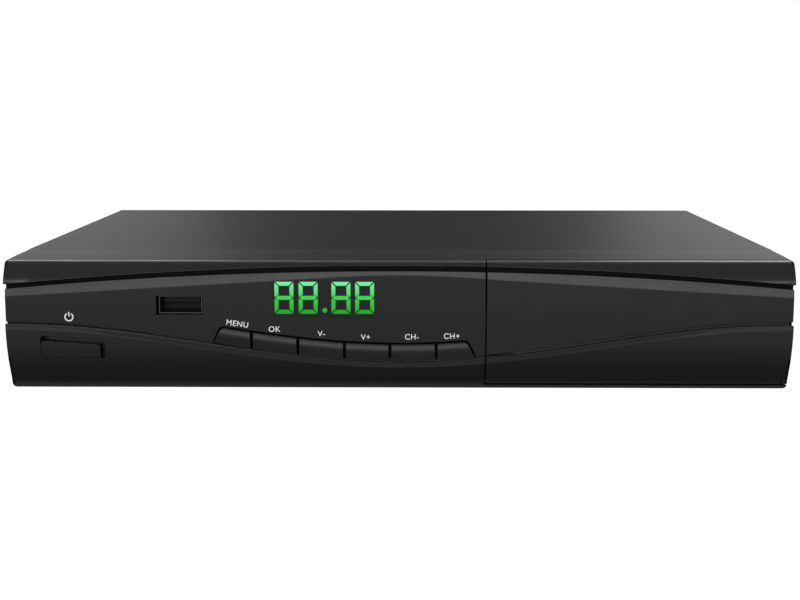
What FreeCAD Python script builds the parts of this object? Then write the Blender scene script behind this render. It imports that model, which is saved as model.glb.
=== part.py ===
import FreeCAD, Part
import math
import os
import re
from FreeCAD import Placement, Rotation, Vector

# Compact set-top receiver. Millimetres, X to the right seen from the front, Y to the back, Z up.
# The origin is the bottom centre of the whole unit. Sizes whose name ends in _in are measured
# back from the foremost line of the front moulding; _down ones are measured from the cover's top.

os.makedirs("parts", exist_ok=True)
doc = FreeCAD.newDocument("receiver")
sheet = doc.addObject("Spreadsheet::Sheet", "Sizes")

SIZES = {
    "overall_width": 240,  # width of the front moulding
    "cover_top": 43.5,  # height of the cover's top above the table
    "front_y": -92,  # foremost line of the front moulding
    "joint_y": -63,  # seam between front moulding and cover
    "cover_inset": 0.3,  # step from the moulding's ends in to the steel cover
    "cover_edge_r": 0.4,  # bend along the cover's upper edges
    "rear_y": 81,  # outer face of the rear panel
    "tip_y": 92,  # ends of the aerial connectors
    "foot_high": 2.8,  # height of the rubber feet
    "sheet_thick": 0.9,  # steel of cover and tray
    "tray_inset": 1.6,  # step from the moulding's ends in to the tray's flanges
    "tray_flange": 11,  # height of the tray's side flanges
    "wall": 2,  # walls of the front moulding
    "fascia_bottom_down": 40.7,  # bottom of the front moulding
    "groove_in": 3,  # floor of the groove under the brow
    "groove_high": 1.55,  # height of the groove
    "brow_arc": 1295,  # radius of the brow's lower edge
    "brow_apex_down": 1.97,  # brow's lower edge at the middle
    "panel_in": 1.4,  # face of the display panel
    "gable_apex_down": 4.93,  # panel's top edge at the middle
    "gable_slope": 0.06,  # slope of the panel's top edge
    "gable_round": 18,  # half width of the rounded apex
    "band_lean": 8,  # backward lean of the band over the panel
    "line_end_down": 19.5,  # lower line at the ends
    "line_drop": 11.9,  # how far the lower line hangs in the middle
    "line_reach": 118,  # half length of the hanging line
    "line_gap": 0.25,  # half gap of the lower line
    "door_line_gap": 0.45,  # half gap of the lower line on the door
    "lip_high": 2.05,  # height of the lip under the lower line
    "lip_lean": 4,  # backward lean of the lip, in degrees
    "lip_proud": 0.12,  # how far the lip stands out at its foot
    "corner_r": 1.2,  # rounding of the front's four corners
    "lens_back_in": 3.4,  # back of the display panel
    "lens_seat_in": 3.5,  # front of the wall behind the display panel
    "cavity_in": 5,  # inside of the upper front wall
    "cavity_low_in": 8.7,  # inside of the lower front wall
    "cavity_step_down": 31,  # height where the inner wall steps back
    "cavity_top_down": 2.5,  # underside of the moulding's top
    "cavity_floor_down": 38.7,  # upper side of the moulding's floor
    "seam_left": 26.45,  # left side of the door's seam
    "door_left": 26.95,  # left edge of the door
    "hinge_in": 6.7,  # door hinge axis
    "hinge_down": 38.2,  # door hinge axis
    "barrel_r": 1.05,  # door hinge barrel
    "hinge_pin_r": 0.55,  # stub pins of the door
    "hinge_hole_r": 0.62,  # holes for the stub pins
    "ear_wall": 1.8,  # thickness of the hinge ear
    "barrel_gap": 0.3,  # from the hinge barrel's right end to the ear
    "slot_mid": 73.5,  # middle of the card slot
    "slot_wide": 56,  # width of the card slot
    "slot_down": 14,  # height of the card slot
    "slot_high": 2.6,  # opening of the card slot
    "side_vent_low": 24,  # lower end of the side slots
    "side_vent_high": 37,  # upper end of the side slots
    "key_high": 5.3,  # height of the key strip
    "key_gap": 0.45,  # gap around the key strip
    "key_split": 0.85,  # gap between two keys
    "key_front_in": 0.9,  # foremost line of the keys
    "key_dome": 7,  # radius of the keys' faces
    "key_corner_r": 1.3,  # outer upper corners of the key strip
    "key_back_in": 4.4,  # back of the key caps
    "stem_end_in": 7,  # ends of the key stems
    "power_edge": 10.65,  # from the moulding's left end to the power button
    "power_wide": 18,  # width of the power button
    "power_bottom_down": 30.45,  # bottom of the power button
    "power_proud": 0.25,  # how far the power button stands out
    "power_corner_r": 0.8,  # corners of the power button
    "usb_left": -73.9,  # left side of the front socket's opening
    "usb_right": -59.6,  # right side of the front socket's opening
    "usb_top_down": 11.17,  # top of the front socket's opening
    "usb_bottom_down": 17.13,  # bottom of the front socket's opening
    "digit_top_down": 7.17,  # top of the digits
    "digit_high": 9.88,  # height of the digits
    "digit_wide": 5.8,  # width of a digit
    "stroke": 1.2,  # width of a digit's bars
    "bar_gap": 0.28,  # half gap between two bars of a digit
    "board_thick": 1.6,  # printed circuit boards
    "front_board_y": -79.6,  # front of the upright board
    "main_board_z": 9,  # underside of the main board
    "main_left": -114,  # left edge of the main board
    "main_right": 46,  # right edge of the main board
    "main_front": -44,  # front edge of the main board
    "main_back_gap": 3,  # from the rear panel to the main board
    "supply_left": 52,  # left edge of the supply board
    "supply_right": 114,  # right edge of the supply board
    "supply_front": -46,  # front edge of the supply board
    "supply_back": 70,  # back edge of the supply board
    "aerial_x": -106,  # aerial input
    "loop_x": -86,  # aerial loop output
    "aerial_z": 22,  # height of the aerial connectors
    "aerial_r": 4.7,  # barrel of the aerial connectors
    "jack_pitch": 14,  # spacing of the round jacks
    "jack_x": 24,  # middle column of the round jacks
    "jack_low_z": 17.5,  # lower row of the round jacks
    "jack_r": 4.15,  # shell of the round jacks
    "inlet_x": 94,  # mains inlet
    "inlet_z": 24,  # mains inlet
    "rocker_x": 64,  # mains switch
    "rocker_z": 24,  # mains switch
    "rocker_tilt": 9,  # tilt of the mains switch at rest
    "rocker_axis_y": 78.6,  # axis of the mains switch
}

for row, (name, number) in enumerate(SIZES.items(), 1):
    sheet.set(f"A{row}", name)
    sheet.set(f"B{row}", str(number))
    sheet.setAlias(f"B{row}", name)
TIED = {
    "ear_left": "overall_width / 2 - ear_wall",  # inner face of the hinge ear
    "barrel_right": "ear_left - barrel_gap",  # right end of the hinge barrel
    "power_left": "power_edge - overall_width / 2",  # left edge of the power button
    "power_right": "power_left + power_wide",  # right edge of the power button
}
for row, (name, formula) in enumerate(TIED.items(), len(SIZES) + 1):
    sheet.set(f"A{row}", name)
    sheet.set(f"B{row}", f"={formula}")
    sheet.setAlias(f"B{row}", name)
    doc.recompute()

WORD = re.compile(r"\b([a-z][a-z0-9_]*)\b(?!\()")
TURNS = {
    "x": Rotation(Vector(0, 1, 0), 90),
    "y": Rotation(Vector(1, 0, 0), -90),
    "z": Rotation(),
}
nodes = {}


def size(name):
    return float(sheet.get(name))


def named(text):
    return WORD.sub(r"Sizes.\1", str(text))


def bind(item, prop, text):
    item.setExpression(prop, named(text))


def at(item, x, y, z):
    bind(item, "Placement.Base.x", x)
    bind(item, "Placement.Base.y", y)
    bind(item, "Placement.Base.z", z)
    return item


def box(label, x, y, z):
    """A block between three pairs of limits."""
    item = doc.addObject("Part::Box", label)
    bind(item, "Length", f"({x[1]}) - ({x[0]})")
    bind(item, "Width", f"({y[1]}) - ({y[0]})")
    bind(item, "Height", f"({z[1]}) - ({z[0]})")
    return at(item, x[0], y[0], z[0])


def rod(label, axis, x, y, z, radius, length):
    item = doc.addObject("Part::Cylinder", label)
    item.Placement = Placement(Vector(), TURNS[axis])
    bind(item, "Radius", radius)
    bind(item, "Height", length)
    return at(item, x, y, z)


def cone(label, axis, x, y, z, first, second, length):
    item = doc.addObject("Part::Cone", label)
    item.Placement = Placement(Vector(), TURNS[axis])
    bind(item, "Radius1", first)
    bind(item, "Radius2", second)
    bind(item, "Height", length)
    return at(item, x, y, z)


def hexagon(label, axis, x, y, z, radius, length):
    item = doc.addObject("Part::Prism", label)
    item.Polygon = 6
    item.Placement = Placement(Vector(), TURNS[axis])
    bind(item, "Circumradius", radius)
    bind(item, "Height", length)
    return at(item, x, y, z)


def group(label, parts):
    item = doc.addObject("Part::Compound", label)
    item.Links = parts
    return item


def fuse(label, parts):
    if len(parts) == 1:
        return parts[0]
    item = doc.addObject("Part::MultiFuse", label)
    item.Shapes = parts
    item.Refine = True
    return item


def cut(label, base, tools):
    item = doc.addObject("Part::Cut", label)
    item.Base = base
    item.Tool = fuse(label + "_tools", tools)
    return item


def common(label, first, second):
    item = doc.addObject("Part::Common", label)
    item.Base = first
    item.Tool = second
    return item


def rounded(label, base, radius, pick):
    """Rounds the edges that pick accepts."""
    doc.recompute()
    item = doc.addObject("Part::Fillet", label)
    item.Base = base
    chosen = []
    for number, edge in enumerate(base.Shape.Edges, 1):
        if pick(edge):
            chosen.append((number, radius, radius))
    item.Edges = chosen
    return item


def moulded(label, shape):
    """A free-form solid computed from the sheet's sizes."""
    item = doc.addObject("Part::Feature", label)
    item.Shape = shape
    return item


def node(name, item):
    nodes[name] = item
    return item


# Curves of the front, as heights below the cover's top at a distance x from the middle.


def brow_edge(x):
    radius = size("brow_arc")
    return -size("brow_apex_down") - (radius - math.sqrt(radius * radius - x * x))


def groove_edge(x):
    return brow_edge(x) - size("groove_high")


def gable(x):
    soft = size("gable_round")
    slope = size("gable_slope")
    if abs(x) < soft:
        return -size("gable_apex_down") - slope * x * x / (2 * soft)
    return -size("gable_apex_down") - slope * (abs(x) - soft / 2)


def lower_line(x):
    reach = size("line_reach")
    near = min(abs(x), reach)
    swell = (1 + math.cos(math.pi * near / reach)) / 2
    return -size("line_end_down") - size("line_drop") * swell


def key_top(x):
    return lower_line(x) + size("key_high")


def shifted(curve, amount):
    return lambda x: curve(x) + amount


def level(amount):
    return lambda x: amount


def slant(x0, z0, x1, z1):
    return lambda x: z0 + (z1 - z0) * (x - x0) / (x1 - x0)


def spline(points):
    curve = Part.BSplineCurve()
    curve.interpolate(points)
    return curve.toShape()


def curve_edge(curve, x0, x1, y):
    top = size("cover_top")
    count = max(3, int(abs(x1 - x0) / 6) + 1)
    steps = [x0 + (x1 - x0) * n / (count - 1) for n in range(count)]
    points = [Vector(x, y, top + curve(x)) for x in steps]
    middle = points[count // 2]
    chord = Part.makeLine(points[0], points[-1])
    if chord.distToShape(Part.Vertex(middle))[0] < 0.0001:
        return chord
    return spline(points)


def region(label, low, high, foot, head, depth, push=None):
    """The slab between two curves, from one depth behind the front line to another."""
    y0 = size("front_y") + depth[0]
    bottom = curve_edge(low, foot[0], foot[1], y0)
    upper = curve_edge(high, head[0], head[1], y0)
    sides = [
        Part.makeLine(bottom.Vertexes[0].Point, upper.Vertexes[0].Point),
        Part.makeLine(bottom.Vertexes[-1].Point, upper.Vertexes[-1].Point),
    ]
    edges = Part.__sortEdges__([bottom, sides[1], upper, sides[0]])
    face = Part.Face(Part.Wire(edges))
    push = push or Vector(0, depth[1] - depth[0], 0)
    return moulded(label, face.extrude(push))


def profile(label, curves, x0, x1):
    """A cross-section of depth and height pairs drawn out along X. Each curve is a chain of
    points: three or more in a tuple marked smooth make a spline, others straight lines."""
    front = size("front_y")
    top = size("cover_top")
    edges = []
    last = None
    first = None
    for smooth, pairs in curves:
        points = [Vector(x0, front + u, top + z) for u, z in pairs]
        if last is not None and (points[0] - last).Length > 0.0001:
            edges.append(Part.makeLine(last, points[0]))
        if smooth:
            edges.append(spline(points))
        else:
            for a, b in zip(points, points[1:]):
                edges.append(Part.makeLine(a, b))
        first = first or points[0]
        last = points[-1]
    edges.append(Part.makeLine(last, first))
    face = Part.Face(Part.Wire(edges))
    return moulded(label, face.extrude(Vector(x1 - x0, 0, 0)))


# Front moulding: cross-sections shared by the moulding, the door and the power button.

TOP_LINE = [(26.9, -0.03), (20.9, -0.14), (15.4, -0.3), (9.9, -0.47), (4.9, -0.7)]
BROW_FACE = [
    (4.9, -0.7), (3.7, -0.86), (2.95, -1.25), (2.2, -2.2), (1.55, -3.3), (0.6, -5.1),
    (0.05, -6.6), (0.02, -7.2), (0.3, -7.85),
]
APRON = [
    (0.72, -19), (0.72, -20.85), (0.75, -22.7), (0.95, -24.6), (1.32, -26.5), (1.78, -28.5),
    (2.35, -30.45), (3.1, -32.5), (4.05, -34.55), (5.05, -36.7), (5.7, -38.5), (5.95, -39.3),
]
BOTTOM_BEVEL = [(5.95, -39.3), (7, -40.7)]
PANEL = [(1.4, -14), (1.55, -20), (1.78, -23.5), (2.09, -27), (2.66, -31.8)]


def half_width():
    return size("overall_width") / 2


def front_block():
    """Brow, top and core of the front, with the groove cut under the brow's arched edge."""
    wide = half_width()
    groove = size("groove_in")
    bottom = -size("fascia_bottom_down")
    joint_in = size("joint_y") - size("front_y")
    outline = [
        (True, [(joint_in, 0)] + TOP_LINE),
        (True, BROW_FACE),
        (False, [(groove, -7.85), (groove, -29), (7.6, -36.5), (7.6, bottom), (joint_in, bottom)]),
    ]
    block = profile("brow_block", outline, -wide, wide)
    below = region(
        "below_brow", level(-14), brow_edge, (-wide - 1, wide + 1), (-wide - 1, wide + 1),
        (-2, groove),
    )
    return cut("brow_and_core", block, [below])


def band():
    """The bright band between groove and panel, leaning back above the panel's top edge."""
    wide = half_width()
    lean = math.radians(size("band_lean"))
    face = size("panel_in")
    ends = (-wide, wide)
    push = Vector(0, math.sin(lean) * 5, math.cos(lean) * 5)
    leaning = region("band_face", shifted(gable, -1), gable, ends, ends, (face, 0), push)
    skin = region("band_skin", shifted(gable, 0), shifted(gable, 7), ends, ends, (face - 0.1, 2.2))
    leaned = common("band_lean", leaning, skin)
    back = region("band_back", gable, groove_edge, ends, ends, (1.9, 4))
    upper = region("band_limit", shifted(gable, -2), groove_edge, ends, ends, (0, 6))
    return common("band_solid", fuse("band_all", [leaned, back]), upper)


def apron():
    wide = half_width()
    sweep = profile("apron_sweep", [(True, APRON), (False, BOTTOM_BEVEL + [(12, -40.7), (12, -19)])], -wide, wide)
    gap = shifted(lower_line, -size("line_gap") - 0.3)
    ends = (-wide, wide)
    below = region("apron_limit", level(-42), gap, ends, ends, (-2, 14))
    return common("apron_solid", sweep, below)


def apron_in(z):
    """Depth of the apron's face at a height, read between the points of its cross-section."""
    for (u0, z0), (u1, z1) in zip(APRON, APRON[1:]):
        if z >= z1:
            return u0 + (u1 - u0) * (z - z0) / (z1 - z0)
    return APRON[-1][0]


def lip():
    """The strip under the lower line, leaning back and standing out a little at its foot."""
    wide = half_width()
    front = size("front_y")
    top = size("cover_top")
    lean = math.tan(math.radians(size("lip_lean"))) * size("lip_high")
    sections = []
    count = 41
    for number in range(count):
        x = -wide + 2 * wide * number / (count - 1)
        head = lower_line(x) - size("line_gap")
        foot = head - size("lip_high")
        face = apron_in(foot) - size("lip_proud")
        corners = [(face, foot), (face + lean, head), (face + 4, head), (face + 4, foot)]
        points = [Vector(x, front + u, top + z) for u, z in corners]
        sections.append(Part.makePolygon(points + points[:1]))
    return moulded("lip_solid", Part.makeLoft(sections, True, False))


def panel(gap, x0, x1, back):
    """The display panel's face between its top edge and the lower line."""
    face = size("panel_in")
    curves = [
        (False, [(back, -2), (face, -2), (face, -14)]),
        (True, PANEL),
        (False, [(back, -31.8)]),
    ]
    sweep = profile("panel_sweep", curves, x0, x1)
    foot = shifted(lower_line, gap)
    ends = (-half_width(), half_width())
    strip = region("panel_strip", foot, gable, ends, ends, (0, 8))
    return common("panel_solid", sweep, strip)


def key_region(label, number, depth):
    """One key's outline; the outer keys have slanted outer edges."""
    splits = [-44.87, -30.72, -16.47, -2.58, 11.54]
    half = size("key_split") / 2
    left = [(-56.6, -54.0)] + [(x + half, x + half) for x in splits]
    right = [(x - half, x - half) for x in splits] + [(23.5, 20.7)]
    foot = (left[number][0], right[number][0])
    head = (left[number][1], right[number][1])
    low = shifted(lower_line, size("key_gap") - size("line_gap"))
    return region(label, low, key_top, foot, head, depth)


KEYS = ["menu", "ok", "volume_down", "volume_up", "channel_down", "channel_up"]
KEY_MIDDLES = [-50.2, -37.8, -23.6, -9.5, 4.5, 17]


def power_profile(label):
    """The apron's cross-section moved forward a little for the power button."""
    proud = size("power_proud")
    pairs = [(u - proud, z) for u, z in APRON[:8]]
    back = [(5.6, -32.5), (5.6, -19)]
    ends = (size("power_left") - 1, size("power_right") + 1)
    return profile(label, [(True, pairs), (False, back)], *ends)


def end_form():
    """The front's outline from straight ahead, with its four corners rounded."""
    block = box(
        "end_block", ("-overall_width / 2", "overall_width / 2"), ("front_y - 3", "joint_y + 5"),
        ("cover_top - fascia_bottom_down", "cover_top"),
    )
    return rounded("end_form", block, size("corner_r"), long_depth_edge)


def long_depth_edge(edge):
    span = edge.BoundBox
    return span.YLength > 1 and span.XLength < 0.01 and span.ZLength < 0.01


def upper_outer_corner(edge):
    """The corner of the key strip's first or last key that is away from the other keys."""
    if not long_depth_edge(edge):
        return False
    middle = edge.BoundBox.Center
    x = middle.x
    away = x < -50 or x > 18
    return away and middle.z > size("cover_top") + (lower_line(x) + key_top(x)) / 2


def front_openings():
    """Wells and windows through the left part of the moulding's front wall."""
    through = (-2, size("cavity_in") + 0.4)
    well = region(
        "key_well", shifted(lower_line, -0.1), shifted(key_top, size("key_gap")),
        (-57.1, 24), (-54.5, 21.2), through,
    )
    well = rounded("key_well_soft", well, size("key_corner_r") + size("key_gap"), upper_outer_corner)
    ends = (size("power_left") - 0.25, size("power_right") + 1.5)
    low = level(-size("power_bottom_down") - 0.25)
    sharp = region("power_hole", low, slant(-109.6, -23.4, -89.8, -24.6), ends, ends, through)
    push = rounded("power_well", sharp, size("power_corner_r") + 0.4, long_depth_edge)
    usb = box(
        "usb_well", ("usb_left", "usb_right"), ("front_y - 1", "front_y + cavity_in + 0.5"),
        ("cover_top - usb_bottom_down", "cover_top - usb_top_down"),
    )
    window = box(
        "display_window", (-42, -3), ("front_y + lens_seat_in - 0.1", "front_y + cavity_in + 1"),
        ("cover_top - 18.9", "cover_top - 5.4"),
    )
    eye = rod(
        "eye_hole", "y", -88, "front_y + lens_seat_in - 0.1", "cover_top - 15", 3.4,
        "cavity_in - lens_seat_in + 1",
    )
    return well, push, usb, window, eye


def door_outlines():
    """Depth and height limits of the door and of the recess it closes."""
    door = [
        (-2, 2), (7.2, 2), (7.2, -2.9), (4.4, -2.9), (4.4, -18), (7.8, -34.2), (7.75, -38.2),
        (-2, -38.2),
    ]
    recess = [
        (-2, 2), (7.5, 2), (7.5, -3.3), (4.8, -3.3), (4.8, -18), (9.4, -33.2), (9.4, -39.55),
        (-2, -39.55),
    ]
    return door, recess


def cavities():
    left = ("-overall_width / 2 + wall", 24.5)
    right = (29, "overall_width / 2 - wall")
    back = "joint_y + 1"
    floor = "cover_top - cavity_floor_down"
    step = "cover_top - cavity_step_down"
    return [
        box("room_left", left, ("front_y + cavity_in", back), (step, "cover_top - cavity_top_down")),
        box("room_left_low", left, ("front_y + cavity_low_in", back), (floor, step)),
        box("room_right", right, ("front_y + 6.8", back), ("cover_top - 20", "cover_top - 4.8")),
        box("room_right_top", right, ("front_y + 10", back), ("cover_top - 5", "cover_top - 2.5")),
        box("room_right_low", right, ("front_y + 11.5", back), (floor, "cover_top - 20")),
    ]


def front_fascia(relief, openings):
    wide = half_width()
    seam = size("seam_left")
    door, recess = door_outlines()
    pocket = profile("door_recess", [(False, recess)], seam, wide + 1)
    ends = (-wide, wide)
    foot = shifted(lower_line, size("line_gap"))
    seat = region("panel_seat", foot, gable, ends, ends, (-1, size("lens_seat_in")))
    slot = box(
        "card_slot", ("slot_mid - slot_wide / 2", "slot_mid + slot_wide / 2"),
        ("front_y + 4", "front_y + 8"),
        ("cover_top - slot_down - slot_high / 2", "cover_top - slot_down + slot_high / 2"),
    )
    pin_hole = rod(
        "pin_hole", "x", "seam_left - 1.75", "front_y + hinge_in", "cover_top - hinge_down",
        "hinge_hole_r", 3,
    )
    hollow = [pocket, seat, slot, pin_hole] + cavities() + list(openings)
    body = relief
    for number, tool in enumerate(hollow):
        body = cut(f"fascia_step_{number}", body, [tool])
    ear = fuse(
        "hinge_ear",
        [
            rod(
                "ear_round", "x", "ear_left", "front_y + hinge_in", "cover_top - hinge_down",
                "barrel_r", "overall_width / 2 - ear_left",
            ),
            box(
                "ear_arm", ("ear_left", "overall_width / 2"),
                ("front_y + hinge_in", "front_y + 9.8"),
                ("cover_top - hinge_down - barrel_r", "cover_top - hinge_down + barrel_r"),
            ),
        ],
    )
    ear_hole = rod(
        "ear_hole", "x", "ear_left - 1", "front_y + hinge_in", "cover_top - hinge_down",
        "hinge_hole_r", 2.6,
    )
    posts = []
    for x, z in ((-112, 9.5), (-112, 37.5), (19, 9.5), (21, 37.5)):
        posts.append(
            rod("board_post", "y", x, "front_y + cavity_in - 0.4", z, 2.2,
                "front_board_y - front_y - cavity_in + 0.4")
        )
    eared = fuse("fascia_eared", [body, cut("ear_bored", ear, [ear_hole])] + posts)
    return node("front_fascia", eared)


def flap_door(relief):
    wide = half_width()
    left = size("door_left")
    door, recess = door_outlines()
    solid = fuse("door_relief", [relief, panel(size("door_line_gap"), left, wide, 5)])
    groove = region(
        "door_line", shifted(lower_line, -size("door_line_gap")),
        shifted(lower_line, size("door_line_gap") - 0.05), (-wide, wide), (-wide, wide), (-2, 3),
    )
    grooved = cut("door_grooved", solid, [groove])
    flap = common("door_flap", grooved, profile("door_prism", [(False, door)], left, wide))
    clear = fuse(
        "ear_room",
        [
            rod(
                "ear_room_round", "x", "barrel_right", "front_y + hinge_in",
                "cover_top - hinge_down", "barrel_r + 0.4", 5,
            ),
            box(
                "ear_room_arm", ("barrel_right", "overall_width / 2 + 1"),
                ("front_y + hinge_in - 0.4", "front_y + 10"),
                ("cover_top - hinge_down - 3", "cover_top - hinge_down + barrel_r + 0.4"),
            ),
        ],
    )
    cleared = cut("door_cleared", flap, [clear])
    barrel = rod(
        "door_barrel", "x", "door_left", "front_y + hinge_in", "cover_top - hinge_down",
        "barrel_r", "barrel_right - door_left",
    )
    pins = rod(
        "door_pins", "x", "seam_left - 1.45", "front_y + hinge_in", "cover_top - hinge_down",
        "hinge_pin_r", "ear_left + 1.3 - seam_left + 1.45",
    )
    return node("flap_door", fuse("flap_door", [cleared, barrel, pins]))


def display_lens(openings):
    well, push, usb, window, eye = openings
    pane = panel(size("line_gap"), -half_width(), size("seam_left"), size("lens_back_in"))
    pane = cut("lens_keys", pane, [well])
    return node("display_lens", cut("display_lens", pane, [usb]))


def keys():
    front = size("front_y")
    for number, name in enumerate(KEYS):
        depth = (size("key_front_in") - 0.5, size("key_back_in"))
        cap = key_region("cap_" + name, number, depth)
        if number in (0, len(KEYS) - 1):
            cap = rounded("soft_" + name, cap, size("key_corner_r"), upper_outer_corner)
        middle = KEY_MIDDLES[number]
        slope = (key_top(middle + 3) - key_top(middle - 3)) / 6
        height = size("cover_top") + lower_line(middle) + size("key_high") / 2 + 0.1
        dome = doc.addObject("Part::Cylinder", "dome_" + name)
        bind(dome, "Radius", "key_dome")
        dome.Height = 60
        along = Vector(1, 0, slope).normalize()
        base = Vector(middle, front + size("key_front_in") + size("key_dome"), height) - along * 30
        dome.Placement = Placement(base, Rotation(Vector(0, 0, 1), along))
        cap = common("domed_" + name, cap, dome)
        stem = box(
            "stem_" + name, (middle - 2, middle + 2), ("front_y + key_back_in - 0.5", "front_y + stem_end_in"),
            (height - 1.6, height + 1.6),
        )
        node("key_" + name, fuse("key_" + name, [cap, stem]))


def power_button():
    left = size("power_left")
    right = size("power_right")
    bottom = -size("power_bottom_down")
    face = region(
        "power_face", level(bottom), slant(left, -25.1, right, -26.3), (left, right), (left, right),
        (-2, 5.6),
    )
    face = rounded("power_outline", face, size("power_corner_r"), long_depth_edge)
    cap = common("power_cap", power_profile("power_sweep"), face)
    flange = box(
        "power_flange", (-111, -88.4), ("front_y + 5.3", "front_y + 6.3"),
        ("cover_top - 30.7", "cover_top - 22.6"),
    )
    stem = box(
        "power_stem", (-102.2, -98.2), ("front_y + 6", "front_y + stem_end_in"),
        ("cover_top - 29.6", "cover_top - 26"),
    )
    return node("power_button", fuse("power_button", [cap, flange, stem]))


# Display, switches and sockets on the upright board behind the front.

DIGIT_LEFTS = [-37.95, -30.54, -20.51, -13.26]
SHOWN = ["abcdefg"] * 4


def bar(points, y):
    flat = [Vector(x, y, z) for x, z in points]
    face = Part.Face(Part.makePolygon(flat + flat[:1]))
    return face.extrude(Vector(0, 0.2, 0))


def digit_bars(left, letters):
    """The lit bars of one digit, mitred at their ends."""
    high = size("digit_high")
    wide = size("digit_wide")
    top = size("cover_top") - size("digit_top_down")
    w = size("stroke")
    g = size("bar_gap")
    r = left + wide
    b = top - high
    m = top - high / 2
    h = w / 2
    shapes = {
        "a": [(left + g, top), (r - g, top), (r - w - g, top - w), (left + w + g, top - w)],
        "d": [(left + g, b), (r - g, b), (r - w - g, b + w), (left + w + g, b + w)],
        "f": [(left, top - g), (left + w, top - w - g), (left + w, m + h + g), (left, m + g)],
        "e": [(left, b + g), (left + w, b + w + g), (left + w, m - h - g), (left, m - g)],
        "b": [(r, top - g), (r - w, top - w - g), (r - w, m + h + g), (r, m + g)],
        "c": [(r, b + g), (r - w, b + w + g), (r - w, m - h - g), (r, m - g)],
        "g": [
            (left + g, m), (left + h + g, m + h), (r - h - g, m + h), (r - g, m),
            (r - h - g, m - h), (left + h + g, m - h),
        ],
    }
    return [bar(shapes[letter], size("front_y") + 3.95) for letter in letters]


def display():
    module = box(
        "display_module", (-40.3, -4.7), ("front_y + 4.2", "front_board_y - 0.05"),
        ("cover_top - 18.3", "cover_top - 5.9"),
    )
    node("display_module", module)
    bars = []
    for left, letters in zip(DIGIT_LEFTS, SHOWN):
        bars += digit_bars(left, letters)
    spot = Vector(-22.6, size("front_y") + 3.95, size("cover_top") - 15.98)
    bars.append(Part.makeCylinder(0.75, 0.2, spot, Vector(0, 1, 0)))
    node("display_segments", moulded("display_segments", Part.makeCompound(bars)))
    eye = fuse(
        "eye",
        [
            box("eye_body", (-91, -85), ("front_y + 6.4", "front_board_y"),
                ("cover_top - 18", "cover_top - 12")),
            rod("eye_dome", "y", -88, "front_y + 4.4", "cover_top - 15", 2.3, 3),
        ],
    )
    node("ir_receiver", eye)


def front_board():
    plate = box(
        "front_plate", (-116, 23.5), ("front_board_y", "front_board_y + board_thick"), (6.5, 40.4),
    )
    holes = []
    for x, z in ((-112, 9.5), (-112, 37.5), (19, 9.5), (21, 37.5)):
        holes.append(rod("front_hole", "y", x, "front_board_y - 1", z, 1.1, 4))
    node("front_board", cut("front_board", plate, holes))
    switches = []
    spots = [(x, size("cover_top") + lower_line(x) + size("key_high") / 2 + 0.1) for x in KEY_MIDDLES]
    spots.append((-100.2, size("cover_top") - 27.8))
    for x, z in spots:
        body = box("tact_body", (x - 3, x + 3), ("front_board_y - 3.4", "front_board_y"), (z - 3, z + 3))
        tip = rod("tact_tip", "y", x, "front_board_y - 4.5", z, 1.7, 1.2)
        switches.append(fuse("tact", [body, tip]))
    node("tact_switches", group("tact_switches", switches))


def front_usb():
    middle = "(usb_left + usb_right) / 2"
    z = "cover_top - (usb_top_down + usb_bottom_down) / 2"
    outer = box(
        "usb_outer", (middle + " - 6.7", middle + " + 6.7"), ("front_y + 3.6", "front_board_y"),
        (z + " - 2.8", z + " + 2.8"),
    )
    inner = box(
        "usb_inner", (middle + " - 6.35", middle + " + 6.35"), ("front_y + 1", "front_board_y - 1"),
        (z + " - 2.45", z + " + 2.45"),
    )
    node("usb_shell", cut("usb_shell", outer, [inner]))
    tongue = fuse(
        "usb_tongue",
        [
            box("usb_blade", (middle + " - 5.6", middle + " + 5.6"),
                ("front_y + 6.9", "front_board_y - 1.5"), (z + " + 0.2", z + " + 2.1")),
            box("usb_back", (middle + " - 6.3", middle + " + 6.3"),
                ("front_board_y - 2", "front_board_y - 1.05"), (z + " - 2.4", z + " + 2.4")),
        ],
    )
    node("usb_tongue", tongue)


def card_reader():
    x = ("slot_mid - slot_wide / 2 - 3.5", "slot_mid + slot_wide / 2 + 3.5")
    z = "cover_top - slot_down"
    body = box("reader_body", x, ("front_y + 6.9", "joint_y + 12"), (z + " - 3.6", z + " + 3.4"))
    gap = box(
        "reader_gap", ("slot_mid - slot_wide / 2", "slot_mid + slot_wide / 2"),
        ("front_y + 6", "joint_y + 10"), (z + " - slot_high / 2", z + " + slot_high / 2"),
    )
    leg = box(
        "reader_board", ("slot_mid - 33", "slot_mid + 33"), ("joint_y + 2", "joint_y + 12"),
        (z + " - 5.2", z + " - 3.6"),
    )
    posts = []
    for x0 in ("slot_mid - 30", "slot_mid + 30"):
        posts.append(rod("reader_post", "z", x0, "joint_y + 8", "foot_high + sheet_thick", 2.2,
                         z + " - 5.2 - foot_high - sheet_thick"))
    node("card_reader", fuse("card_reader", [cut("reader_hollow", body, [gap]), leg] + posts))


# Steel case.


def slots(label, count, first, pitch, across, y_span, z_span, wide):
    items = []
    for number in range(count):
        low = first + pitch * number
        if across == "y":
            items.append(box(label, y_span, (low, low + wide), z_span))
        else:
            items.append(box(label, (low, low + wide), y_span, z_span))
    return items


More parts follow.
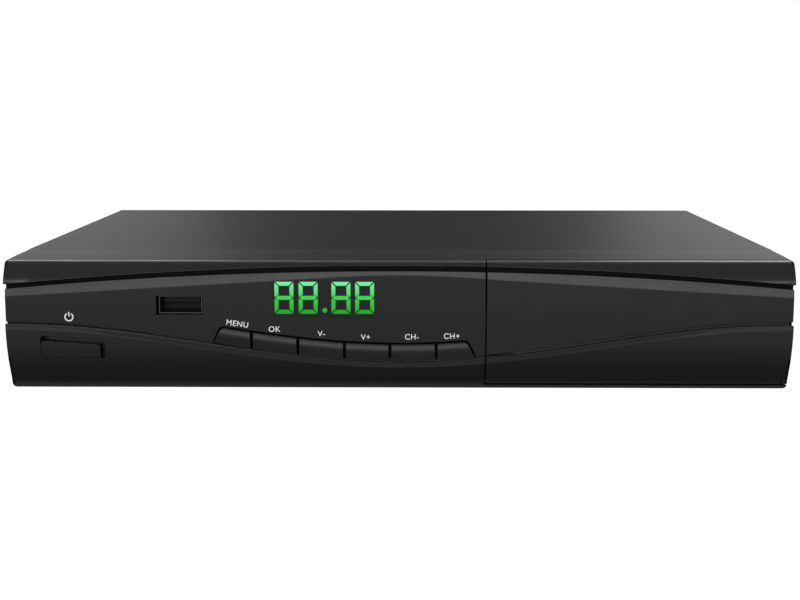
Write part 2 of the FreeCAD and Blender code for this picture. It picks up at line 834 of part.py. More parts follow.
def top_cover():
    outer = box(
        "cover_outer", ("-overall_width / 2 + cover_inset", "overall_width / 2 - cover_inset"), ("joint_y", "rear_y + 0.3"),
        ("foot_high + 1.1", "cover_top"),
    )
    soft = rounded("cover_soft", outer, size("cover_edge_r"), top_side_edge)
    inner = box(
        "cover_inner", ("-overall_width / 2 + cover_inset + sheet_thick", "overall_width / 2 - cover_inset - sheet_thick"),
        ("joint_y - 1", "rear_y + 2"), ("foot_high", "cover_top - sheet_thick"),
    )
    across = ("-overall_width / 2 - 1", "overall_width / 2 + 1")
    high = ("side_vent_low", "side_vent_high")
    vents = slots("side_vent", 12, size("joint_y") + 24, 8.0, "y", across, high, 2.6)
    node("top_cover", cut("top_cover", soft, [inner] + vents))


def top_side_edge(edge):
    span = edge.BoundBox
    high = span.ZMin > size("cover_top") - 0.01
    return high and span.YLength > 50


def chassis_tray():
    side = "(overall_width / 2 - tray_inset)"
    floor_z = ("foot_high", "foot_high + sheet_thick")
    back = "rear_y - 1.1"
    parts = [
        box("tray_floor", ("-" + side, side), ("joint_y + 0.3", back), floor_z),
        box("tray_left", ("-" + side, "-" + side + " + sheet_thick"), ("joint_y + 0.3", back),
            ("foot_high", "foot_high + tray_flange")),
        box("tray_right", (side + " - sheet_thick", side), ("joint_y + 0.3", back),
            ("foot_high", "foot_high + tray_flange")),
        box("tray_front", ("-" + side, side), ("joint_y + 0.3", "joint_y + 0.3 + sheet_thick"),
            ("foot_high", "cover_top - sheet_thick - 0.2")),
    ]
    body = fuse("tray_all", parts)
    holes = [
        box("ribbon_gate", (-50, 10), ("joint_y - 1", "joint_y + 3"), (14, 34)),
        box("reader_gate", ("slot_mid - 34.5", "slot_mid + 34.5"), ("joint_y - 1", "joint_y + 3"),
            ("cover_top - slot_down - 6", "cover_top - slot_down + 5")),
    ]
    holes += slots("floor_vent", 9, size("joint_y") + 36, 8.0, "y", (-60, 20),
                   ("foot_high - 1", "foot_high + 2"), 3.0)
    node("chassis_tray", cut("chassis_tray", body, holes))


def rear_panel():
    plate = box(
        "rear_plate", ("-overall_width / 2 + tray_inset", "overall_width / 2 - tray_inset"), ("rear_y - 1", "rear_y"),
        ("foot_high + sheet_thick + 0.2", "cover_top - sheet_thick - 0.2"),
    )
    y = ("rear_y - 3", "rear_y + 3")
    holes = [
        rod("aerial_hole", "y", "aerial_x", "rear_y - 3", "aerial_z", "aerial_r + 0.3", 6),
        rod("loop_hole", "y", "loop_x", "rear_y - 3", "aerial_z", "aerial_r + 0.3", 6),
        box("hdmi_hole", (-74, -58), y, (10.9, 17.3)),
        box("optical_hole", (-71, -61), y, (23.8, 34.2)),
        box("ethernet_hole", (-52.2, -35.8), y, (10.4, 24.2)),
        box("serial_hole", (-25.2, -2.8), y, (11.2, 22.8)),
        box("inlet_hole", ("inlet_x - 11.2", "inlet_x + 11.2"), y, ("inlet_z - 7.2", "inlet_z + 7.2")),
        box("rocker_hole", ("rocker_x - 6.7", "rocker_x + 6.7"), y, ("rocker_z - 9.7", "rocker_z + 9.7")),
    ]
    for column in (-1, 0, 1):
        for row in (0, 1):
            holes.append(rod("jack_hole", "y", f"jack_x + jack_pitch * {column}", "rear_y - 3",
                             f"jack_low_z + jack_pitch * {row}", 5.1, 6))
    holes += slots("rear_vent", 9, -50.0, 5.0, "x", y, (29, 37.5), 2.4)
    node("rear_panel", cut("rear_panel", plate, holes))


def feet():
    pads = []
    for x in (-98, 98):
        for y in (-50, 66):
            pad = cone("foot_pad", "z", x, y, 0, 6.2, 7, "foot_high")
            screw = rod("foot_recess", "z", x, y, -0.5, 2.6, 2)
            pads.append(cut("foot", pad, [screw]))
    node("feet", group("feet", pads))


# Main board and what it carries.


def main_board():
    plate = box(
        "main_plate", ("main_left", "main_right"), ("main_front", "rear_y - main_back_gap"),
        ("main_board_z", "main_board_z + board_thick"),
    )
    node("main_board", plate)
    top = "main_board_z + board_thick"
    chip = box("chip_body", (-34, -7), (-4, 23), (top, top + " + 2"))
    node("main_processor", chip)
    base = box("sink_base", (-39, -2), (-9, 28), (top + " + 2", top + " + 4.5"))
    fins = []
    for number in range(10):
        x = -39 + number * 3.95
        fins.append(box("sink_fin", (x, x + 1.45), (-9, 28), (top + " + 4", top + " + 15")))
    node("heat_sink", fuse("heat_sink", [base] + fins))
    chips = [
        box("memory_a", (-58, -46), (-6, 2), (top, top + " + 1.1")),
        box("memory_b", (-58, -46), (10, 18), (top, top + " + 1.1")),
        box("flash", (8, 20), (-2, 16), (top, top + " + 1.1")),
        box("demodulator", (-66, -54), (32, 44), (top, top + " + 1.4")),
        box("audio_chip", (14, 20), (40, 50), (top, top + " + 1.4")),
    ]
    node("memory_chips", group("memory_chips", chips))
    cans = []
    spots = [(-100, -20, 4), (-88, -20, 4), (-100, 4, 3), (-90, 4, 3), (30, -30, 4), (38, -20, 4),
             (34, 4, 3), (34, 16, 3), (-72, 20, 3), (28, 50, 2.5)]
    for x, y, r in spots:
        cans.append(rod("board_can", "z", x, y, top, r, 3 * r + 1))
    node("board_capacitors", group("board_capacitors", cans))
    plugs = [
        box("ribbon_plug", (-34, -10), (-42, -36), (top, top + " + 7")),
        box("supply_plug", (30, 44), (-8, -2), (top, top + " + 7")),
        box("front_plug", (-34, -10), ("front_board_y + board_thick", "front_board_y + board_thick + 5"),
            (21, 27)),
        box("supply_plug_far", (60, 73), (-45.5, -39.8), (top, 17.5)),
        box("mains_terminal", (75, 83), (51, 63), (top, 18)),
    ]
    node("board_headers", group("board_headers", plugs))


def ribbon_cable():
    """A flat cable from the main board's header up and forward to the front board's."""
    line = [(-72.9, 24.0), (-68, 24.0), (-57, 24.0), (-48, 26.5), (-39, 26.5), (-39, 17.7)]
    half = 0.45
    up = [(y, z + half) for y, z in line[:4]] + [(-39 + half, 26.5 + half), (-39 + half, 17.7)]
    down = [(-39 - half, 17.7), (-39 - half, 26.5 - half)] + [(y, z - half) for y, z in line[3::-1]]
    points = [Vector(-32, y, z) for y, z in up + down]
    face = Part.Face(Part.makePolygon(points + points[:1]))
    node("ribbon_cable", moulded("ribbon_cable", face.extrude(Vector(20, 0, 0))))


def tuner():
    top = "main_board_z + board_thick"
    can = box("tuner_body", (-116, -76), (36, "rear_y - 1.1"), (top, 33))
    lid = box("tuner_lid", (-115.2, -76.8), (36.8, "rear_y - 2"), (32.5, 33.6))
    node("tuner_can", fuse("tuner_can", [can, lid]))
    ends = []
    for x in ("aerial_x", "loop_x"):
        barrel = rod("aerial_barrel", "y", x, "rear_y - 1.1", "aerial_z", "aerial_r", "tip_y - rear_y + 1.1")
        nut = hexagon("aerial_nut", "y", x, "rear_y + 0.05", "aerial_z", 6.4, 2)
        bore = rod("aerial_bore", "y", x, "tip_y - 9", "aerial_z", 2.6, 12)
        plug = rod("aerial_core", "y", x, "tip_y - 9.2", "aerial_z", 0.9, 6)
        ends.append(fuse("aerial_end", [cut("aerial_hollow", fuse("aerial_body", [barrel, nut]), [bore]), plug]))
    node("aerial_connectors", group("aerial_connectors", ends))


def round_jacks():
    top = "main_board_z + board_thick"
    body = box("jack_block", (3, 45), (66, "rear_y - 1.05"), (top, 38.5))
    node("jack_block", body)
    colours = {}
    shells = []
    names = [["white", "red", "yellow"], ["red", "blue", "green"]]
    for row in (0, 1):
        for column in (-1, 0, 1):
            x = f"jack_x + jack_pitch * {column}"
            z = f"jack_low_z + jack_pitch * {row}"
            ring = rod("jack_ring", "y", x, "rear_y - 1.05", z, 4.9, 2.8)
            core = rod("jack_core", "y", x, "rear_y + 1.5", z, 3.45, 7)
            bore = rod("jack_bore", "y", x, "rear_y + 1.2", z, 1.65, 9)
            piece = cut("jack_colour", fuse("jack_plastic", [ring, core]), [bore])
            colours.setdefault(names[row][column + 1], []).append(piece)
            outer = rod("jack_outer", "y", x, "rear_y + 1.75", z, "jack_r", 7.2)
            inner = rod("jack_inner", "y", x, "rear_y + 1", z, 3.45, 9)
            shells.append(cut("jack_shell", outer, [inner]))
    for colour, pieces in colours.items():
        node("jack_insert_" + colour, group("jack_insert_" + colour, pieces))
    node("jack_shells", group("jack_shells", shells))


def rear_sockets():
    top = "main_board_z + board_thick"
    outer = box("hdmi_outer", (-73.6, -58.4), (66, "rear_y + 0.6"), (top + " + 0.5", 17))
    inner = box("hdmi_inner", (-73.1, -58.9), (67, "rear_y + 2"), (top + " + 1", 16.5))
    blade = box("hdmi_blade", (-72, -60), (66.5, "rear_y - 4.6"), (13.4, 15))
    node("hdmi_socket", fuse("hdmi_socket", [cut("hdmi_shell", outer, [inner]), blade]))
    optical = fuse(
        "optical",
        [
            box("optical_body", (-70.8, -61.2), (68, "rear_y + 1.2"), (24, 34)),
            box("optical_stand", (-70, -62), (68, 78), (17.1, 24.5)),
            box("optical_flap", (-69.4, -62.6), ("rear_y + 1", "rear_y + 1.7"), (25.4, 32.6)),
        ],
    )
    node("optical_socket", optical)
    body = box("ethernet_body", (-52, -36), (60, "rear_y + 0.6"), (top, 24))
    mouth = box("ethernet_mouth", (-50, -38), (66, "rear_y + 2"), (12.6, 20.6))
    latch = box("ethernet_latch", (-47.2, -40.8), (66, "rear_y + 2"), (20.4, 22.8))
    node("ethernet_socket", cut("ethernet_socket", body, [mouth, latch]))
    flange = box("serial_flange", (-29.5, 1.5), ("rear_y + 0.05", "rear_y + 0.9"), (10.9, 23.1))
    nose = box("serial_nose", (-22.4, -5.6), ("rear_y + 0.5", "rear_y + 6.4"), (12.9, 21.1))
    soft = rounded("serial_soft", nose, 2.4, nose_edge)
    back = box("serial_back", (-25, -3), (70, "rear_y + 0.5"), (top + " + 0.7", 22.6))
    node("serial_shell", fuse("serial_shell", [flange, soft, back]))
    bungs = []
    for x in (-26.5, -1.5):
        hexa = hexagon("jackscrew_head", "y", x, "rear_y + 0.95", 17, 2.7, 4.8)
        hole = rod("jackscrew_hole", "y", x, "rear_y + 2", 17, 1.3, 5)
        bungs.append(cut("jackscrew", hexa, [hole]))
    node("serial_jackscrews", group("serial_jackscrews", bungs))


def nose_edge(edge):
    span = edge.BoundBox
    return span.YLength > 5 and span.XLength < 0.01 and span.ZLength < 0.01


# Mains supply.


def supply_board():
    top = "main_board_z + board_thick"
    plate = box(
        "supply_plate", ("supply_left", "supply_right"), ("supply_front", "supply_back"),
        ("main_board_z", top),
    )
    node("supply_board", plate)
    sheet_item = box("film", ("supply_left - 1", "supply_right + 2"), ("supply_front - 2", 74), (4.6, 5))
    holes = []
    for x in (56, 110):
        for y in (-42, 64):
            holes.append(rod("film_hole", "z", x, y, 4, 3.2, 3))
    node("insulation_film", cut("insulation_film", sheet_item, holes))
    core = fuse(
        "core",
        [
            box("core_left", (70, 76), (-8, 14), (top + " + 1", 35)),
            box("core_right", (94, 100), (-8, 14), (top + " + 1", 35)),
            box("core_top", (70, 100), (-8, 14), (29.5, 35)),
            box("core_low", (70, 100), (-8, 14), (top + " + 1", 17)),
        ],
    )
    node("transformer_core", core)
    bobbin = box("bobbin", (76.3, 93.7), (-11, 17), (17.2, 29.3))
    feet_box = box("bobbin_feet", (72, 98), (-11.5, -8.1), (top, 20))
    node("transformer_winding", fuse("transformer_winding", [bobbin, feet_box]))
    node("bulk_capacitor", rod("bulk_capacitor", "z", 92, 38, top, 9, 25))
    plate_sink = fuse(
        "supply_sink",
        [
            box("sink_plate", (70, 104), (21, 23), (top, 34)),
            box("switch_package", (76, 86), (23, 27.5), (top + " + 4", 27)),
        ],
    )
    node("supply_heat_sink", plate_sink)
    tube = rod("fuse_tube", "y", 70, 42, 16, 2.6, 20)
    clips = []
    for y in (42, 57):
        cradle = box("fuse_cradle", (66.8, 73.2), (y, y + 5), (top, 17))
        seat = rod("fuse_seat", "y", 70, y - 1, 16, 2.6, 7)
        clips.append(cut("fuse_clip", cradle, [seat]))
    node("mains_fuse", group("mains_fuse", clips + [tube]))
    cans = []
    for x, y in ((70, -29), (82, -34), (94, -34), (106, -34), (106, -22), (58, -20)):
        cans.append(rod("output_can", "z", x, y, top, 4, 16))
    node("output_capacitors", group("output_capacitors", cans))
    ring = doc.addObject("Part::Torus", "choke_ring")
    ring.Placement = Placement(Vector(), Rotation(Vector(0, 1, 0), 90))
    ring.Radius1 = 7
    ring.Radius2 = 3.4
    at(ring, 107.5, 6, top + " + 10.4")
    node("line_choke", ring)


def mains_inlet():
    x = ("inlet_x - 11", "inlet_x + 11")
    outer = box("inlet_body", x, (64, "rear_y + 0.5"), ("inlet_z - 7", "inlet_z + 7"))
    flange = box(
        "inlet_flange", ("inlet_x - 13.5", "inlet_x + 13.5"), ("rear_y + 0.05", "rear_y + 1.8"),
        ("inlet_z - 9", "inlet_z + 9"),
    )
    mouth = box(
        "inlet_mouth", ("inlet_x - 8.6", "inlet_x + 8.6"), ("rear_y - 13", "rear_y + 4"),
        ("inlet_z - 4.6", "inlet_z + 4.6"),
    )
    node("mains_inlet", cut("mains_inlet", fuse("inlet_all", [outer, flange]), [mouth]))
    pins = []
    for side in (-1, 1):
        pins.append(rod("inlet_pin", "y", f"inlet_x + 4.3 * {side}", "rear_y - 13", "inlet_z", 1.2, 8))
    node("inlet_pins", group("inlet_pins", pins))


def rocker():
    axis = "rocker_axis_y"
    x = ("rocker_x - 6.5", "rocker_x + 6.5")
    body = box("rocker_body", x, (66, "rear_y + 0.5"), ("rocker_z - 9.5", "rocker_z + 9.5"))
    flange = box(
        "rocker_flange", ("rocker_x - 7.6", "rocker_x + 7.6"), ("rear_y + 0.05", "rear_y + 1.9"),
        ("rocker_z - 10.8", "rocker_z + 10.8"),
    )
    mouth = box(
        "rocker_mouth", ("rocker_x - 5", "rocker_x + 5"), ("rear_y - 9", "rear_y + 4"),
        ("rocker_z - 8.6", "rocker_z + 8.6"),
    )
    hole = rod("rocker_hole", "x", "rocker_x - 6.2", axis, "rocker_z", 1.25, 12.4)
    node("rocker_frame", cut("rocker_frame", fuse("rocker_all", [body, flange]), [mouth, hole]))
    tilt = math.radians(size("rocker_tilt"))
    outline = [(3.4, 8), (3.6, 7), (2.6, 0), (3.6, -7), (3.4, -8), (-0.8, -8), (-2.6, 0), (-0.8, 8)]
    points = []
    for out, up in outline:
        y = size("rocker_axis_y") + out * math.cos(tilt) - up * math.sin(tilt)
        z = size("rocker_z") + out * math.sin(tilt) + up * math.cos(tilt)
        points.append(Vector(size("rocker_x") - 4.7, y, z))
    face = Part.Face(Part.makePolygon(points + points[:1]))
    paddle = moulded("rocker_paddle", face.extrude(Vector(9.4, 0, 0)))
    pin = rod("rocker_pin", "x", "rocker_x - 5.9", axis, "rocker_z", 1.2, 11.8)
    node("rocker_switch", fuse("rocker_switch", [paddle, pin]))


# Wires and fasteners.


def wire_shape(points, radius):
    path = Part.Wire([spline([Vector(*p) for p in points])])
    start = Vector(*points[0])
    tangent = path.Edges[0].tangentAt(path.Edges[0].FirstParameter)
    ring = Part.Wire([Part.makeCircle(radius, start, tangent)])
    return path.makePipeShell([ring], True, True)


def harness():
    shapes = []
    for number in range(5):
        x = 32 + number * 2.4
        far = 61.6 + number * 2.4
        rise = 26 + number * 1.2
        points = [(x, -5, 18.3), (x, -5, 20.5), (x + 6, -14, rise), (far - 6, -34, rise)]
        points += [(far, -42.6, 21.5), (far, -42.6, 18.2)]
        shapes.append(wire_shape(points, 0.75))
    for side in (-1, 1):
        x = 94 + 4 * side
        y = 57 + 3 * side
        points = [(x, 63.7, 24), (x, 60.5, 24), (90 + 3 * side, 55, 25 + side)]
        points += [(84 + 2 * side, 54 + side, 25 + side), (79, y, 22), (79, y, 18.3)]
        shapes.append(wire_shape(points, 1.1))
    node("internal_wires", moulded("internal_wires", Part.makeCompound(shapes)))


def cross(axis, x, y, z):
    """The two bars of a cross recess, seen along an axis."""
    bars = []
    for wide, high in ((1.25, 0.3), (0.3, 1.25)):
        up = (f"{z} - {high}", f"{z} + {high}")
        if axis == "x":
            outward = (x, x + " + 0.6") if x.startswith("-") else (x + " + 0.5", x + " + 1.2")
            bars.append(box("cross_bar", outward, (y - wide, y + wide), up))
        else:
            bars.append(box("cross_bar", (x - wide, x + wide), (y, y + " + 2"), up))
    return bars


def fasteners():
    posts = []
    heads = []
    corners = [(-110, -40), (-110, 30), (42, -40), (42, 60), (56, -42), (110, -42), (56, 64), (110, 64)]
    for x, y in corners:
        posts.append(hexagon("post", "z", x, y, "foot_high + sheet_thick", 2.8,
                             "main_board_z - foot_high - sheet_thick"))
        dome = cone("board_screw", "z", x, y, "main_board_z + board_thick", 2.8, 1.9, 1.8)
        slot = box("board_screw_slot", (x - 2, x + 2), (y - 0.3, y + 0.3), (11.6, 13))
        heads.append(cut("board_screw_cut", dome, [slot]))
    node("standoffs", group("standoffs", posts))
    for x, z in ((-112, 9.5), (-112, 37.5), (19, 9.5), (21, 37.5)):
        heads.append(cone("front_screw", "y", x, "front_board_y + board_thick", z, 2.6, 1.8, 1.6))
    node("board_screws", group("board_screws", heads))
    case = []
    for side, axis_x in ((-1, "-overall_width / 2 + cover_inset - 1.1"), (1, "overall_width / 2 - cover_inset")):
        for y in (-48, 66):
            first, second = (1.9, 2.9) if side < 0 else (2.9, 1.9)
            head = cone("side_screw", "x", axis_x, y, 10, first, second, 1.1)
            case.append(cut("side_screw_cut", head, cross("x", axis_x, y, 10)))
    for x in (-112, -56, 50, 112):
        head = cone("rear_screw", "y", x, "rear_y", 38, 2.7, 1.8, 1.5)
        case.append(cut("rear_screw_cut", head, cross("y", x, "rear_y + 0.5", 38)))
    node("case_screws", group("case_screws", case))


relief = common("relief", fuse("front_all", [front_block(), band(), apron(), lip()]), end_form())
openings = front_openings()
front_fascia(relief, openings)
flap_door(relief)
display_lens(openings)
keys()
power_button()
display()
front_board()
front_usb()
card_reader()
top_cover()
chassis_tray()
rear_panel()
feet()
main_board()
ribbon_cable()
tuner()
round_jacks()
rear_sockets()
supply_board()
mains_inlet()
rocker()
harness()
fasteners()
doc.recompute()

for item in doc.Objects:
    if "Invalid" in item.State or "Error" in item.State:
        raise RuntimeError(f"{item.Label} failed: {item.State}")
for name, item in nodes.items():
    shape = item.Shape
    if shape.isNull() or not shape.isValid() or not shape.Solids:
        raise RuntimeError(f"{name} has no valid solid")
    item.Label = name
    shape.exportStep(f"parts/{name}.step")
print(len(nodes), "nodes")
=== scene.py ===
import math

import bpy
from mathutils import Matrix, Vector


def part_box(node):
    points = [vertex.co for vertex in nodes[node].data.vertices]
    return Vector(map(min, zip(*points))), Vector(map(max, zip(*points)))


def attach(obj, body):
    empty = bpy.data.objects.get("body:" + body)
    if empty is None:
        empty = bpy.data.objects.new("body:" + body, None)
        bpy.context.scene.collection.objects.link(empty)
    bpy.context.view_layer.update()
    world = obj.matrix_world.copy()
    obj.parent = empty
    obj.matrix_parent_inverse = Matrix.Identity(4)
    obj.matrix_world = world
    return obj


# A compact television receiver: a black moulded front with an arched brow, a smoked display panel,
# six push keys and a drop-down flap, on a powder-coated steel case. Lengths are in metres.
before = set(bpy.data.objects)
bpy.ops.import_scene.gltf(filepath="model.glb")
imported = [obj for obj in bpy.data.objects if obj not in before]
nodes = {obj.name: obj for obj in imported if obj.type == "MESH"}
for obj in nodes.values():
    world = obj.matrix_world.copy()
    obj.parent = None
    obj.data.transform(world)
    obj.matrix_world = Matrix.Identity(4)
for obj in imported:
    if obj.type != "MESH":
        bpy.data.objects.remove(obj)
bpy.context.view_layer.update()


# Camera and room. The photograph was taken level with the front from half a metre away, looking
# slightly down on the cover. The room is white, with a wide soft light in front and one behind
# each end of the receiver.

CAMERA_PLACE = (0.00513, -0.5152, 0.0956)
CAMERA_PITCH = math.radians(8.627)
CAMERA_YAW = math.radians(0.626)
FOCAL_PIXELS = 1412.8
FRAME_WIDE = 800

camera_data = bpy.data.cameras.new("camera")
camera_data.sensor_width = 36
camera_data.lens = 36 * FOCAL_PIXELS / FRAME_WIDE
camera_data.clip_start = 0.01
camera = bpy.data.objects.new("camera", camera_data)
camera.location = CAMERA_PLACE
camera.rotation_euler = (math.pi / 2 - CAMERA_PITCH, 0, CAMERA_YAW)
bpy.context.scene.collection.objects.link(camera)
bpy.context.scene.camera = camera
bpy.context.scene.view_settings.view_transform = "Standard"


def linear(hex_colour, alpha=1.0):
    """Turns an sRGB hex colour to linear light."""
    values = [int(hex_colour[i : i + 2], 16) / 255 for i in (1, 3, 5)]
    flat = [v / 12.92 if v <= 0.04045 else ((v + 0.055) / 1.055) ** 2.4 for v in values]
    return (*flat, alpha)


def add(tree, kind, settings=None, **links):
    """Adds a node. A link's value is another node's output, or a plain value for the socket."""
    node = tree.nodes.new(kind)
    for name, value in (settings or {}).items():
        setattr(node, name, value)
    for name, value in links.items():
        key = int(name[1:]) if name[0] == "i" and name[1:].isdigit() else name.replace("_", " ")
        if isinstance(value, bpy.types.NodeSocket):
            tree.links.new(value, node.inputs[key])
        else:
            node.inputs[key].default_value = value
    return node


def fresh(name):
    """An empty material with its output node."""
    material = bpy.data.materials.new(name)
    material.use_nodes = True
    material.node_tree.nodes.clear()
    return material, material.node_tree, material.node_tree.nodes.new("ShaderNodeOutputMaterial")


def seen_directly(tree):
    """1 where the camera, a reflection or a see-through part looks at the surface."""
    path = add(tree, "ShaderNodeLightPath")
    first = add(tree, "ShaderNodeMath", {"operation": "MAXIMUM"}, i0=path.outputs["Is Camera Ray"],
                i1=path.outputs["Is Glossy Ray"])
    return add(tree, "ShaderNodeMath", {"operation": "MAXIMUM"}, i0=first.outputs[0],
               i1=path.outputs["Is Transmission Ray"]).outputs[0]


ROOM_WHITE = "#FFFFFF"
ROOM_FILL = "#BCBCBC"
FLOOR_PALE = "#E8E8E8"
FILL_STRENGTH = 0.6
FLOOR_WIDE = 12
FLOOR_GLOW = 1.11
FLOOR_SHADOW_SHARE = 0.1

world = bpy.data.worlds.new("room")
bpy.context.scene.world = world
world.use_nodes = True
world.node_tree.nodes.clear()
room = world.node_tree
white = add(room, "ShaderNodeBackground", Color=linear(ROOM_WHITE), Strength=1.0)
fill = add(room, "ShaderNodeBackground", Color=linear(ROOM_FILL), Strength=FILL_STRENGTH)
choice = add(room, "ShaderNodeMixShader", i0=seen_directly(room), i1=fill.outputs[0],
             i2=white.outputs[0])
add(room, "ShaderNodeOutputWorld", Surface=choice.outputs[0])

bpy.ops.object.select_all(action="DESELECT")
bpy.ops.mesh.primitive_plane_add(size=FLOOR_WIDE)
floor = bpy.context.object
floor.name = "floor"
material, tree, output = fresh("pale_floor")
lit = add(tree, "ShaderNodeBsdfDiffuse", Color=linear(FLOOR_PALE))
glow = add(tree, "ShaderNodeEmission", Color=linear(ROOM_WHITE), Strength=FLOOR_GLOW)
mixed = add(tree, "ShaderNodeMixShader", i0=1 - FLOOR_SHADOW_SHARE, i1=lit.outputs[0],
            i2=glow.outputs[0])
chosen = add(tree, "ShaderNodeMixShader", i0=seen_directly(tree), i1=lit.outputs[0],
             i2=mixed.outputs[0])
tree.links.new(chosen.outputs[0], output.inputs["Surface"])
floor.data.materials.append(material)


def softbox(name, place, target, size, power):
    """An area lamp that the camera doesn't see, turned to its target."""
    data = bpy.data.lights.new(name, "AREA")
    data.shape = "RECTANGLE"
    data.size, data.size_y = size
    data.energy = power
    light = bpy.data.objects.new(name, data)
    light.visible_camera = False
    light.location = place
    light.rotation_euler = (Vector(target) - Vector(place)).to_track_quat("-Z", "Y").to_euler()
    bpy.context.scene.collection.objects.link(light)


softbox("back_left_light", (-0.55, 1.05, 0.34), (-0.05, 0.0, 0.04), (0.7, 0.6), 2.9)
softbox("back_right_light", (0.55, 1.05, 0.34), (0.05, 0.0, 0.04), (0.7, 0.6), 3.9)
softbox("front_light", (0.0, -3.0, 0.75), (0, 0, 0.03), (3.0, 0.9), 58)

# A black net hangs behind the receiver, out of the picture. It thins out to both sides, so the
# middle of the cover mirrors a darker room than the ends.
NET_DENSE = 0.06  # half width of its densest part
NET_GONE = 0.40  # half width where it ends
NET_HIGH = 0.6
NET_THIN = 0.42  # share of the light that its densest part lets through
NET_Y = 0.9

bpy.ops.object.select_all(action="DESELECT")
bpy.ops.mesh.primitive_plane_add(size=1)
net = bpy.context.object
net.name = "black_net"
for vertex in net.data.vertices:
    vertex.co = Vector((vertex.co.x * 2 * NET_GONE, NET_Y, (vertex.co.y + 0.5) * NET_HIGH))
material, tree, output = fresh("black_net")
spot = add(tree, "ShaderNodeTexCoord").outputs["Object"]
split = add(tree, "ShaderNodeSeparateXYZ", Vector=spot)
side = add(tree, "ShaderNodeMath", {"operation": "ABSOLUTE"}, i0=split.outputs["X"])
thin = add(tree, "ShaderNodeMapRange", {"interpolation_type": "SMOOTHSTEP"}, Value=side.outputs[0],
           From_Min=NET_DENSE, From_Max=NET_GONE, To_Min=NET_THIN)
black = add(tree, "ShaderNodeBsdfDiffuse", Color=linear("#000000"))
open_air = add(tree, "ShaderNodeBsdfTransparent")
mixed = add(tree, "ShaderNodeMixShader", i0=thin.outputs["Result"], i1=black.outputs[0],
            i2=open_air.outputs[0])
tree.links.new(mixed.outputs[0], output.inputs["Surface"])
net.data.materials.append(material)
net.visible_camera = False
net.visible_diffuse = False
net.visible_shadow = False
net.visible_transmission = False


# Steel cover and rear panel. Folded sheet steel, powder coated black: the coat is matt with a fine
# orange peel, so the top shows only broad, soft light.

def mottle(tree, period, low, high):
    """A slow variation between two values."""
    spot = add(tree, "ShaderNodeTexCoord").outputs["Object"]
    noise = add(tree, "ShaderNodeTexNoise", Vector=spot, Scale=1 / period, Detail=2.0)
    ramp = add(tree, "ShaderNodeMapRange", Value=noise.outputs["Fac"], From_Min=0.3, From_Max=0.7,
               To_Min=low, To_Max=high)
    return ramp.outputs["Result"]


def surface(tree, period, depth, strength, edge):
    """The normal of a grained face: grains period apart and depth high, and its edges rounded."""
    spot = add(tree, "ShaderNodeTexCoord").outputs["Object"]
    noise = add(tree, "ShaderNodeTexNoise", Vector=spot, Scale=1 / period, Detail=3.0,
                Roughness=0.6)
    corner = add(tree, "ShaderNodeBevel", {"samples": 6}, Radius=edge)
    bump = add(tree, "ShaderNodeBump", Height=noise.outputs["Fac"], Distance=depth,
               Strength=strength, Normal=corner.outputs["Normal"])
    return bump.outputs["Normal"]


def wear(names, material):
    """Gives CAD nodes a finish."""
    for name in names:
        mesh = nodes[name].data
        mesh.materials.clear()
        mesh.materials.append(material)


def plastic(name, colour, roughness, period=0.0006, depth=0.00002, strength=0.25, edge=0.0003,
            variation=0.04, ior=1.49, level=0.5, patchy=0.02):
    """A moulded plastic: one colour with slow tone changes, a fine mould grain, rounded edges."""
    material, tree, output = fresh(name)
    spot = add(tree, "ShaderNodeTexCoord").outputs["Object"]
    noise = add(tree, "ShaderNodeTexNoise", Vector=spot, Scale=40.0, Detail=2.0)
    base = linear(colour)
    light = tuple(min(1, v * (1 + variation * 3)) for v in base[:3]) + (1,)
    mix = add(tree, "ShaderNodeMix", {"data_type": "RGBA"}, Factor=noise.outputs["Fac"])
    mix.inputs[6].default_value = base
    mix.inputs[7].default_value = light
    shader = add(tree, "ShaderNodeBsdfPrincipled", Base_Color=mix.outputs[2],
                 Roughness=mottle(tree, 0.01, roughness - patchy, roughness + patchy), IOR=ior,
                 Specular_IOR_Level=level, Normal=surface(tree, period, depth, strength, edge))
    tree.links.new(shader.outputs[0], output.inputs["Surface"])
    return material


powder = plastic("powder_coat_black", "#131314", 0.48, period=0.0011, depth=0.00002, strength=0.15,
                 edge=0.0004, variation=0.01, ior=1.45, level=0.012, patchy=0.004)
wear(["top_cover", "rear_panel"], powder)


# Front moulding, flap and standby button. Injection-moulded ABS, black, with a satin spark texture.
# The groove under the brow and the face below the lip are painted darker and duller as painted
# shade;
# the top behind its rounded front edge and the two end faces take the same darker, duller coat.

MM = 0.001
FRONT_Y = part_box("front_fascia")[0].y
COVER_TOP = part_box("top_cover")[1].z
GROOVE_FROM = FRONT_Y + 2.4 * MM
GROOVE_ABOVE = COVER_TOP - 17 * MM
END_FROM = 119.2 * MM
TOP_FROM = FRONT_Y + 4.0 * MM
TOP_WHOLE = FRONT_Y + 5.6 * MM
TOP_ABOVE = COVER_TOP - 2.2 * MM
LINE_END = COVER_TOP - 19.5 * MM
LINE_DROP = 11.9 * MM
LINE_REACH = 118 * MM
LIP_FOOT = 2.3 * MM
APRON_FROM = COVER_TOP - 25 * MM
APRON_WHOLE = COVER_TOP - 34 * MM
APRON_SHADE_SHARE = 0.75
BEVEL_BELOW = COVER_TOP - 39.1 * MM
BEVEL_SHADE_SHARE = 0.5

